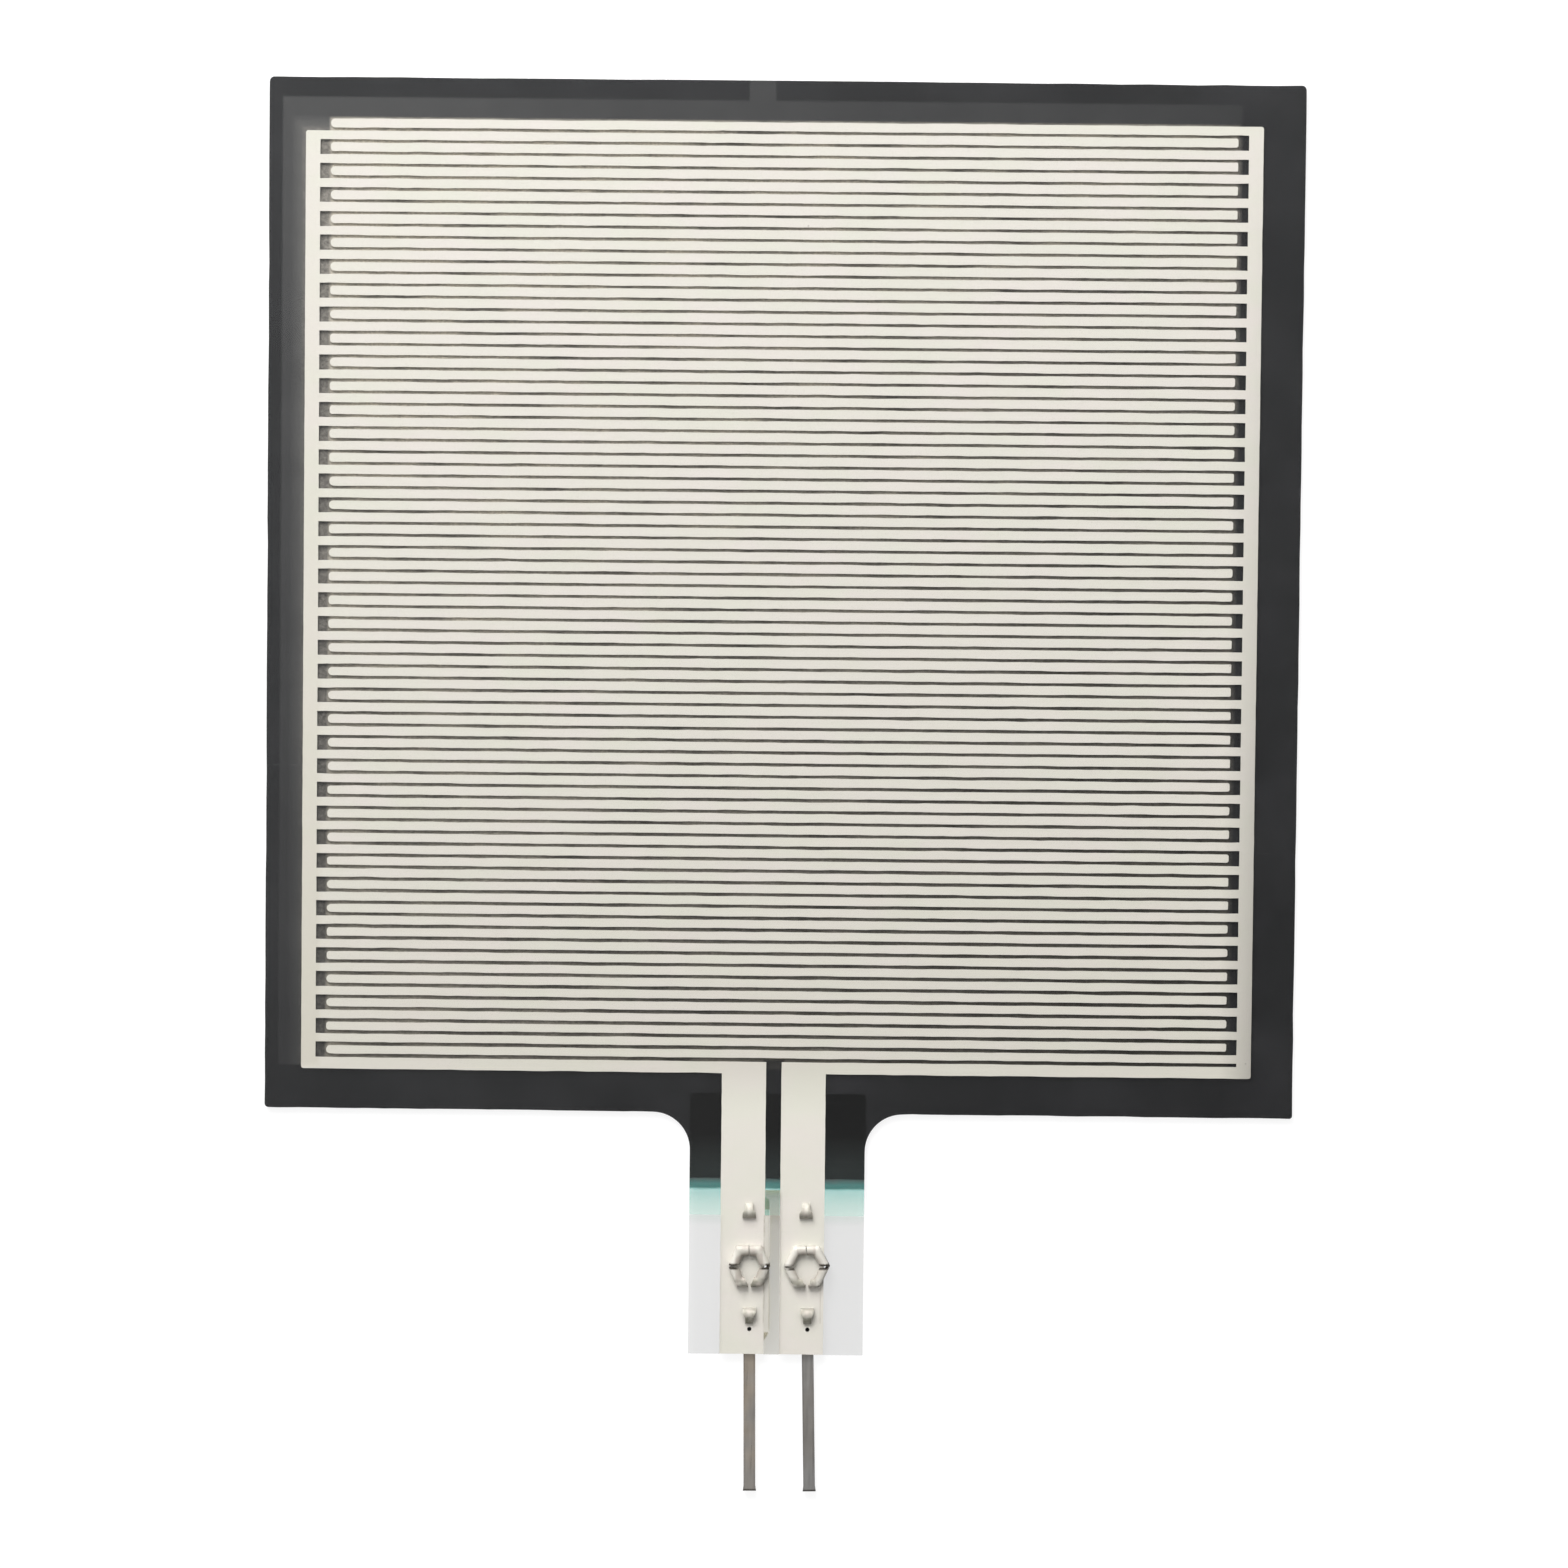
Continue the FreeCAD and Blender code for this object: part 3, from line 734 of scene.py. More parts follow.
@dataclass(frozen=True)
class TinnedMetal(Finish):
    """Dull tinned copper alloy: pale soft tin on the crimp, drawn and stained metal on the bare pin."""

    name: str = "tinned_copper_alloy"
    crimp: tuple[float, float] = (0.0, 0.0)
    turn_deg: float = 0.0
    ring_half: tuple[float, float] = (0.89, 0.89)
    lances: tuple[float, float] = (2.05, 1.80)
    body_half: float = 0.80
    prick_distance: float = 2.71
    film_edge: float = -3.78
    pin_end: float = -9.66
    bright: Colour = (0.78, 0.75, 0.68)
    cream: Colour = (0.68, 0.655, 0.585)
    rosy: Colour = (0.58, 0.53, 0.475)
    painted_inner_shade: Colour = (0.42, 0.375, 0.32)
    painted_olive_shade: Colour = (0.27, 0.26, 0.20)
    shade_and_shear_brown: Colour = (0.045, 0.035, 0.025)
    hole: Colour = (0.004, 0.003, 0.002)
    pin: Colour = (0.52, 0.47, 0.41)
    stain: Colour = (0.33, 0.29, 0.25)
    steel: Colour = (0.56, 0.56, 0.56)

    def dress(self, canvas: Canvas) -> None:
        """Pale, soft tin on the crimp, and drawn, stained metal on the bare pin."""
        middle = Matrix.Rotation(math.radians(-self.turn_deg), 2) @ Vector(self.crimp)
        own_across, own_along = canvas.axes(turn_deg=-self.turn_deg)
        across = own_across - middle.x
        along = own_along - middle.y
        under_film = canvas.axes()[1].span(LAYOUT.tail_end - 0.03, LAYOUT.tail_end + 0.03)
        streaks = canvas.noise(0.10, 3.0, stretch=(1.0, 0.05, 1.0))
        bare = self._bare_pin(canvas, across, along, streaks)
        colour = under_film.blend(bare, self._crimp(canvas, across, along))
        # painted shadow of the prick's hole, near black
        hole = canvas.length(across, along + self.prick_distance).span(0.125, 0.10)
        canvas.put("Base Color", hole.blend(colour, self.hole))
        canvas.put("Metallic", (under_film.span(0.0, 1.0, 1.0, 0.25) - hole).clamped())
        rough = streaks.span(0.3, 0.7, 0.26, 0.44) + under_film * 0.24
        canvas.put("Roughness", rough + canvas.scratches(1.4, 0.15))
        canvas.bump(streaks, 0.004, 0.5)

    def _crimp(self, canvas: Canvas, across: Field, along: Field) -> Field:
        """Tones of the crimp: cream petals, painted shade at the inner edges and on the lower claws,
        painted shadow at the side corners, and mottled painted shade on the lances.
        """
        size = abs(across)
        colour = canvas.noise(0.35, 3.0).span(0.40, 0.60).blend(self.cream, self.rosy)
        colour = size.span(self.body_half - 0.30, self.body_half - 0.24).blend(colour, self.bright)
        reach = canvas.length(across / self.ring_half[0], along / self.ring_half[1])
        # painted shade towards the ring's inner side, where the claws curl down
        colour = (reach.span(0.80, 0.60) * 0.65).blend(colour, self.painted_inner_shade)
        on_ring = reach.span(1.12, 1.05)
        # painted shade on the lower claws, blotchy and olive
        blots = canvas.noise(0.40, 2.0).span(0.40, 0.60, 0.10, 0.75)
        colour = (along.span(-0.40, -0.62) * on_ring * blots).blend(colour, self.painted_olive_shade)
        patches = canvas.noise(0.30, 1.0).span(0.42, 0.50, 0.35, 1.0)
        # painted shadow in the gaps at the ring's side corners
        corner = abs(along).span(0.16, 0.09) * size.span(0.40, 0.55) * on_ring
        colour = (corner * patches).blend(colour, self.shade_and_shear_brown)
        # painted shade on the lances
        return self._lance_painted_shade(canvas, size, along).blend(colour, self.painted_olive_shade)

    def _lance_painted_shade(self, canvas: Canvas, size: Field, along: Field) -> Field:
        """Mask of painted shade on the lances: their roots, the flanks of the tongues and the lower one's
        point.
        """
        upper, lower = self.lances
        spans = ((upper - 0.10, upper - 0.06, upper + 0.14, upper + 0.30, 0.50),
                 (-lower - 0.12, -lower - 0.06, -lower + 0.06, -lower + 0.10, 0.45),
                 (-lower - 0.72, -lower - 0.66, -lower - 0.40, -lower - 0.30, 0.95))
        marks = size.span(0.02, 0.13, 0.15, 0.60)
        for start, full, fading, end, strength in spans:
            marks = marks | along.span(start, full) * along.span(end, fading) * strength
        on_lance = size.span(0.36, 0.31) * abs(along).span(lower - 0.2, lower - 0.15)
        return marks * on_lance * canvas.noise(0.16, 2.0).span(0.35, 0.60, 0.45, 1.0)

    def _bare_pin(self, canvas: Canvas, across: Field, along: Field, streaks: Field) -> Field:
        """Tones of the pin: drawn lines, stains, painted shade on the flanks and just below the film's
        edge, and a dark sheared end.
        """
        mix = streaks.span(0.35, 0.7) * 0.45 + canvas.noise(0.9).span(0.35, 0.65) * 0.40
        # painted shade on the pin's flanks
        flank_shade = abs(across).span(0.15, 0.21, 0.0, 0.45)
        colour = (mix + flank_shade).blend(self.pin, self.stain)
        near_end = along.span(self.pin_end + 1.86, self.pin_end + 0.66)
        cold = canvas.noise(2.2, 2.0).span(0.42, 0.60) | near_end
        colour = (cold * 0.55).blend(colour, self.steel)
        # painted shade at the pin's root, just below the film's edge
        root = along.span(self.film_edge - 0.37, self.film_edge - 0.07, 0.0, 0.35)
        end = along.span(self.pin_end + 0.10, self.pin_end + 0.04, 0.0, 0.8)
        return (root | end).blend(colour, self.shade_and_shear_brown)


@dataclass(frozen=True)
class LinerPaper(Finish):
    """Silicone-coated release paper: pale, with fibres and a soft coated sheen."""

    name: str = "release_liner_paper"
    paper: Colour = (0.80, 0.76, 0.66)
    fibre: Colour = (0.69, 0.63, 0.51)

    def dress(self, canvas: Canvas) -> None:
        """Fibres in two directions over a pale ground."""
        rising = canvas.noise(0.7, 4.0, stretch=(0.25, 1.0, 1.0), turn_deg=28.0)
        falling = canvas.noise(0.8, 4.0, stretch=(1.0, 0.3, 1.0), turn_deg=-22.0)
        fibres = rising.span(0.4, 0.7) * falling.span(0.35, 0.7)
        tone = fibres + canvas.noise(6.0).span(0.3, 0.7, 0.0, 0.35) + canvas.scratches(6.0, 0.2)
        canvas.put("Base Color", tone.blend(self.paper, self.fibre))
        canvas.put("Roughness", fibres.span(0.0, 0.6, 0.36, 0.6))
        canvas.bump(fibres, 0.01, 0.5)


@dataclass
class Workshop:
    """Turns millimetre bmeshes into finished pieces that ride on the sensor."""

    effects: Effects
    materials: dict[str, bpy.types.Material] = field(default_factory=dict)

    def material_of(self, finish: Finish) -> bpy.types.Material:
        """Makes each finish's material once and hands it out."""
        if finish.name not in self.materials:
            self.materials[finish.name] = finish.material(self.effects)
        return self.materials[finish.name]

    @staticmethod
    def block(mesh: BMesh, name: str) -> bpy.types.Object:
        """Puts a bmesh, still in millimetres, into an object of its own and frees it."""
        bmesh.ops.recalc_face_normals(mesh, faces=mesh.faces[:])
        data = bpy.data.meshes.new(name)
        mesh.to_mesh(data)
        mesh.free()
        block = bpy.data.objects.new(name, data)
        bpy.context.scene.collection.objects.link(block)
        return block

    @staticmethod
    def apply(block: bpy.types.Object) -> None:
        """Applies the modifiers of a block to its mesh."""
        graph = bpy.context.evaluated_depsgraph_get()
        data = bpy.data.meshes.new_from_object(block.evaluated_get(graph))
        block.modifiers.clear()
        block.data = data

    @classmethod
    def carve(cls, block: bpy.types.Object, tool: bpy.types.Object, how: Carve) -> None:
        """Cuts a tool out of a block, or welds it on, and takes the tool away.

        Args:
            block: Workpiece that is changed.
            tool: Closed shape that is used up.
            how: Cut or weld.
        """
        step = block.modifiers.new(how.name.lower(), "BOOLEAN")
        step.operation = how.value
        step.solver = "MANIFOLD"
        step.object = tool
        cls.apply(block)
        bpy.data.objects.remove(tool)

    @classmethod
    def walled(cls, mesh: BMesh, name: str, wall: float) -> bpy.types.Object:
        """Gives a curved sheet its wall on the inner side.

        Args:
            mesh: Open sheet in millimetres.
            name: Name of the block.
            wall: Thickness of the wall.

        Returns:
            The closed block.
        """
        block = cls.block(mesh, name)
        step = block.modifiers.new("wall", "SOLIDIFY")
        step.thickness = wall
        step.offset = -1.0
        step.use_even_offset = True
        cls.apply(block)
        return block

    def hand_over(self, block: bpy.types.Object, node: str, slot: Slot, finish: Finish,
                  crease_deg: float = 30.0) -> bpy.types.Object:
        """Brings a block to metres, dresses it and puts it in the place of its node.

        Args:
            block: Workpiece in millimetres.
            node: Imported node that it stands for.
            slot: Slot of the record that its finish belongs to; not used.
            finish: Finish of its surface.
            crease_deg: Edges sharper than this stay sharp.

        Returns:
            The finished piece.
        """
        block.data.transform(Matrix.Scale(METRES_PER_MM, 4))
        block.data.materials.clear()
        block.data.materials.append(self.material_of(finish))
        block.data.shade_smooth()
        block.data.set_sharp_from_angle(angle=math.radians(crease_deg))
        normals = block.modifiers.new("flat_faces_stay_flat", "WEIGHTED_NORMAL")
        normals.keep_sharp = True
        self.apply(block)
        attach(block, ROOT_BODY)
        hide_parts(node)
        LOG.info("%s: %d faces, %s", block.name, len(block.data.polygons), finish.name)
        return block


def rectangle(left: float, right: float, low: float, high: float) -> BMesh:
    """A flat upright rectangle of one face at height 0."""
    mesh = bmesh.new()
    bmesh.ops.create_grid(mesh, x_segments=1, y_segments=1, size=0.5)
    bmesh.ops.scale(mesh, vec=(right - left, high - low, 1.0), verts=mesh.verts[:])
    moved(mesh, (left + right) / 2, (low + high) / 2, 0.0)
    return mesh


def crossbar(width: float, y: float, z: float) -> BMesh:
    """A mesh of one edge along X, from which a sheet can grow."""
    mesh = bmesh.new()
    left = bmesh.ops.create_vert(mesh, co=(-width / 2, y, z))["vert"][0]
    right = bmesh.ops.extrude_vert_indiv(mesh, verts=[left])["verts"][0]
    right.co.x = width / 2
    return mesh


def seam(mesh: BMesh, place: Vector, normal: Vector) -> None:
    """Adds a straight seam where a plane meets a mesh."""
    parts = mesh.verts[:] + mesh.edges[:] + mesh.faces[:]
    bmesh.ops.bisect_plane(mesh, geom=parts, dist=1e-6, plane_co=place, plane_no=normal)


def split_at(mesh: BMesh, axis: str, *places: float) -> None:
    """Adds straight seams across a mesh at places along X or Y."""
    normal = Vector((1.0, 0.0, 0.0)) if axis == "x" else Vector((0.0, 1.0, 0.0))
    for place in places:
        seam(mesh, normal * place, normal)


def moved(mesh: BMesh, x: float, y: float, z: float) -> None:
    """Moves a whole mesh."""
    bmesh.ops.translate(mesh, vec=(x, y, z), verts=mesh.verts[:])


def merge_flat(mesh: BMesh) -> None:
    """Dissolves the seams and the idle vertices of a flat mesh."""
    bmesh.ops.dissolve_limit(mesh, angle_limit=0.001, verts=mesh.verts[:], edges=mesh.edges[:])


def moved_out(mesh: BMesh, edges: list[BMEdge], shift: tuple[float, float, float]) -> list[BMEdge]:
    """Extrudes edges by a shift and returns the new far edges."""
    grown = bmesh.ops.extrude_edge_only(mesh, edges=edges)["geom"]
    bmesh.ops.translate(mesh, vec=shift, verts=[item for item in grown if isinstance(item, BMVert)])
    return [item for item in grown if isinstance(item, BMEdge)]


def ends_of(edges: list[BMEdge]) -> list[BMVert]:
    """The vertices of some edges, each once and in a steady order."""
    return list(dict.fromkeys(vert for edge in edges for vert in edge.verts))


def round_corners(mesh: BMesh, corners: list[BMVert], radius: float, segments: int = 6) -> None:
    """Rounds corners of a flat outline."""
    bmesh.ops.bevel(mesh, geom=corners, offset=radius, offset_type="OFFSET", segments=segments,
                    profile=0.5, affect="VERTICES", clamp_overlap=True, material=-1)


def round_edges(mesh: BMesh, edges: list[BMEdge], width: float, segments: int = 2) -> None:
    """Rounds edges of a solid."""
    bmesh.ops.bevel(mesh, geom=edges, offset=width, offset_type="OFFSET", segments=segments,
                    profile=0.5, affect="EDGES", clamp_overlap=True, material=-1)


def thicken(mesh: BMesh, bottom: float, top: float, rim: float = 0.0) -> None:
    """Gives a flat mesh its thickness between two levels, and breaks the sharp rim a little.

    Args:
        mesh: Flat mesh at height 0.
        bottom: Level of its underside.
        top: Level of its upper side.
        rim: Width of the broken edge, or 0 for none.
    """
    moved(mesh, 0.0, 0.0, bottom)
    grown = bmesh.ops.extrude_face_region(mesh, geom=mesh.faces[:])["geom"]
    bmesh.ops.translate(mesh, vec=(0.0, 0.0, top - bottom),
                        verts=[item for item in grown if isinstance(item, BMVert)])
    bmesh.ops.recalc_face_normals(mesh, faces=mesh.faces[:])
    if rim:
        sharp = [edge for edge in mesh.edges
                 if edge.calc_face_angle(0.0) > math.radians(60)
                 and abs(edge.verts[0].co.z - edge.verts[1].co.z) < TOUCHING]
        round_edges(mesh, sharp, rim)


@dataclass
class FilmLayer:
    """A layer with the body's square outline, or the square with its tail."""

    node: str
    slot: Slot
    finish: Finish
    rim: float = 0.012
    seat: float = 0.001
    wander_cuts: int = 39
    wander_from: float = 3.0
    wander_band: float = 0.25
    wander_lengths: tuple[float, float] = (3.1, 1.1)

    def outline(self) -> BMesh:
        """Square with rounded corners, and a tail with filleted neck where the node has one."""
        span = Span.of(self.node)
        mesh = rectangle(span.left, span.right, -LAYOUT.edge, span.high)
        half = LAYOUT.tail_half
        if span.low < -LAYOUT.edge - TOUCHING:
            split_at(mesh, "x", -half, half)
            neck = [edge for edge in mesh.edges
                    if all(abs(vert.co.y + LAYOUT.edge) < TOUCHING and abs(vert.co.x) < half + TOUCHING
                           for vert in edge.verts)]
            moved_out(mesh, neck, (0.0, span.low + LAYOUT.edge, 0.0))
            merge_flat(mesh)
            necks = [vert for vert in mesh.verts
                     if abs(vert.co.y + LAYOUT.edge) < TOUCHING and abs(abs(vert.co.x) - half) < TOUCHING]
            round_corners(mesh, necks, LAYOUT.neck_radius, segments=16)
        for side, end, radius in LAYOUT.corner_radii:
            corners = [vert for vert in mesh.verts
                       if abs(side * vert.co.x - span.right) < TOUCHING and end * vert.co.y > 0.0]
            round_corners(mesh, corners, radius)
        self._wander(mesh)
        return mesh

    def _wander(self, mesh: BMesh) -> None:
        """Draws the cut outline in by hair widths, the same in every layer, as a worn die leaves it."""
        long_edges = [edge for edge in mesh.edges if edge.calc_length() > self.wander_from]
        bmesh.ops.subdivide_edges(mesh, edges=long_edges, cuts=self.wander_cuts)
        long_wave, short_wave = self.wander_lengths
        border = LAYOUT.edge - self.wander_band
        beside_neck = LAYOUT.tail_half + 2.0
        for vert in mesh.verts:
            place = Vector((vert.co.x, vert.co.y, 3.0))
            drift = abs(noise.noise(place / long_wave)) + 0.5 * abs(noise.noise(place / short_wave))
            inwards = LAYOUT.cut_wander * drift
            if abs(vert.co.x) > border:
                vert.co.x -= math.copysign(inwards, vert.co.x)
            if abs(vert.co.y) > border and abs(vert.co.x) > beside_neck:
                vert.co.y -= math.copysign(inwards, vert.co.y)

    def block(self) -> bpy.types.Object:
        """The layer at its level, drawn back by a hair where it touches its neighbours."""
        span = Span.of(self.node)
        mesh = self.outline()
        thicken(mesh, span.bottom + self.seat, span.top - self.seat, self.rim)
        return Workshop.block(mesh, self.node + "_sheet")

    def build(self, workshop: Workshop) -> None:
        """Makes the layer."""
        workshop.hand_over(self.block(), self.node, self.slot, self.finish)


@dataclass
class SpacerLayer(FilmLayer):
    """Adhesive frame between the films, open at its window and its vent."""

    node: str = "spacer_adhesive"
    slot: Slot = Slot.ADHESIVE
    finish: Finish = field(default_factory=ClearAdhesive)
    rim: float = 0.0
    below_silver: float = 0.013

    def block(self) -> bpy.types.Object:
        """The frame: the tailed outline with the window and the vent taken out of its face."""
        span = Span.of(self.node)
        mesh = self.outline()
        left, right, low, high = LAYOUT.window
        split_at(mesh, "x", left, right, LAYOUT.vent_left, LAYOUT.vent_right)
        split_at(mesh, "y", low, high)
        gone = [face for face in mesh.faces if self._open(face.calc_center_median())]
        bmesh.ops.delete(mesh, geom=gone, context="FACES")
        merge_flat(mesh)
        corners = [vert for vert in mesh.verts
                   if min(abs(vert.co.x - left), abs(vert.co.x - right)) < TOUCHING
                   and min(abs(vert.co.y - low), abs(vert.co.y - high)) < TOUCHING]
        round_corners(mesh, corners, LAYOUT.window_radius)
        thicken(mesh, span.bottom, span.top - self.below_silver, self.rim)
        return Workshop.block(mesh, self.node + "_frame")

    @staticmethod
    def _open(place: Vector) -> bool:
        """Whether a place lies in the window or in the vent."""
        left, right, low, high = LAYOUT.window
        in_window = left < place.x < right and low < place.y < high
        in_vent = LAYOUT.vent_left < place.x < LAYOUT.vent_right and place.y > high
        return in_window or in_vent


@dataclass
class InsulationLayer(FilmLayer):
    """Dielectric print across the tail."""

    node: str = "insulation_print"
    slot: Slot = Slot.INSULATION_INK
    finish: Finish = field(default_factory=InsulationInk)
    print_thickness: float = 0.008
    corner_radius: float = 0.08

    def block(self) -> bpy.types.Object:
        """A thin band under the traces, with its corners a little rounded."""
        span = Span.of(self.node)
        mesh = rectangle(span.left, span.right, span.low, span.high)
        round_corners(mesh, mesh.verts[:], self.corner_radius, segments=3)
        thicken(mesh, span.bottom, span.bottom + self.print_thickness)
        return Workshop.block(mesh, self.node + "_band")


@dataclass
class Comb:
    """One printed silver comb: bus, fingers, bar along the bottom and trace down the tail."""

    node: str
    sign: int
    top_row: int = 0
    row_count: int = 79
    bus_width: float = 0.61
    bar_width: float = 0.49
    finger_gap: float = 0.130
    gap_growth: float = 0.030
    tip_radii: tuple[float, ...] = (0.17,)
    finger_cuts: int = 95
    other_cuts: int = 29
    long_side: float = 3.0
    ripple: float = 0.019
    ripple_length: float = 1.1
    corner_radius: float = 0.10
    seat: float = 0.001

    @property
    def pitch(self) -> float:
        """Distance from one row of fingers to the next."""
        top = Span.of("right_comb").high
        return (top - LAYOUT.silver_bottom - self.bar_width) / self.row_count

    @property
    def outer(self) -> float:
        """X of the bus's outer side."""
        span = Span.of(self.node)
        return span.right if self.sign > 0 else span.left

    @property
    def finger_length(self) -> float:
        """Length of a finger from its bus to its tip."""
        span = Span.of(self.node)
        return span.right - span.left - self.bus_width

    def build(self, workshop: Workshop, piercings: BMesh) -> None:
        """Prints the comb and pierces it.

        Args:
            workshop: Carves and dresses the piece.
            piercings: What passes through its trace.
        """
        span = Span.of(self.node)
        mesh = self._flat()
        self._ripple(mesh)
        thicken(mesh, span.bottom, span.top - self.seat)
        block = Workshop.block(mesh, self.node + "_print")
        workshop.carve(block, Workshop.block(piercings, "piercings"), Carve.CUT)
        workshop.hand_over(block, self.node, Slot.SILVER_INK, SilverInk())

    def _levels(self) -> list[float]:
        """Heights along the bus where a finger or the bar starts or ends, from the bottom up."""
        levels = [LAYOUT.silver_bottom, LAYOUT.silver_bottom + self.bar_width]
        top = Span.of("right_comb").high
        for row in reversed(range(self.top_row, self.row_count, 2)):
            high = top - row * self.pitch
            gap = self.finger_gap + self.gap_growth * (row / self.row_count) ** 3
            levels += [high - self.pitch + gap, high]
        return levels

    def _flat(self) -> BMesh:
        """The comb as one flat sheet, grown from its bus."""
        mesh = bmesh.new()
        levels = self._levels()
        tip = bmesh.ops.create_vert(mesh, co=(self.outer, levels[0], 0.0))["vert"][0]
        for level in levels[1:]:
            tip = bmesh.ops.extrude_vert_indiv(mesh, verts=[tip])["verts"][0]
            tip.co.y = level
        inwards = -self.sign
        inner = moved_out(mesh, mesh.edges[:], (inwards * self.bus_width, 0.0, 0.0))
        inner.sort(key=lambda edge: edge.verts[0].co.y + edge.verts[1].co.y)
        tips = moved_out(mesh, inner[2::2], (inwards * self.finger_length, 0.0, 0.0))
        self._trace(mesh, inner[0])
        self._divide(mesh)
        self._round(mesh, tips)
        return mesh

    def _trace(self, mesh: BMesh, root: BMEdge) -> None:
        """Grows the bar from the foot of the bus, and the trace from the end of the bar."""
        inner, outer = LAYOUT.trace(self.sign)
        bar = moved_out(mesh, [root], (outer - root.verts[0].co.x, 0.0, 0.0))
        before = set(mesh.edges)
        moved_out(mesh, bar, (inner - outer, 0.0, 0.0))
        foot = [edge for edge in mesh.edges if edge not in before
                and all(abs(vert.co.y - LAYOUT.silver_bottom) < TOUCHING for vert in edge.verts)]
        moved_out(mesh, foot, (0.0, Span.of(self.node).low - LAYOUT.silver_bottom, 0.0))

    def _divide(self, mesh: BMesh) -> None:
        """Divides the long sides, so that they can ripple as a printed edge does."""
        finger_side = self.finger_length - 0.5
        fingers = [edge for edge in mesh.edges if edge.calc_length() > finger_side]
        bmesh.ops.subdivide_edges(mesh, edges=fingers, cuts=self.finger_cuts)
        others = [edge for edge in mesh.edges if self.long_side < edge.calc_length() < finger_side]
        bmesh.ops.subdivide_edges(mesh, edges=others, cuts=self.other_cuts)

    def _round(self, mesh: BMesh, tips: list[BMEdge]) -> None:
        """Rounds the tips of the fingers, each by one of the radii, and the outline's corners."""
        draw = random.Random(SEED)
        groups: dict[float, list[BMVert]] = {}
        for edge in tips:
            groups.setdefault(draw.choice(self.tip_radii), []).extend(edge.verts)
        top = max(vert.co.y for vert in mesh.verts)
        corners = [vert for vert in mesh.verts if abs(vert.co.x - self.outer) < TOUCHING
                   and (vert.co.y > top - TOUCHING or vert.co.y < LAYOUT.silver_bottom + TOUCHING)]
        for radius, verts in groups.items():
            round_corners(mesh, verts, radius, segments=5)
        round_corners(mesh, corners, self.corner_radius, segments=4)

    def _ripple(self, mesh: BMesh) -> None:
        """Moves the outline a little, in long and short waves, as ink spreads on film."""
        end = Span.of(self.node).low
        for vert in mesh.verts:
            if not vert.is_boundary or vert.co.y < end + TOUCHING:
                continue
            place = Vector((vert.co.x, vert.co.y * 3.0, 7.0 * self.sign))
            wave = noise.noise_vector(place / self.ripple_length) + 0.6 * noise.noise_vector(place * 3.1)
            vert.co.x += 0.5 * self.ripple * wave.x
            vert.co.y += self.ripple * wave.y


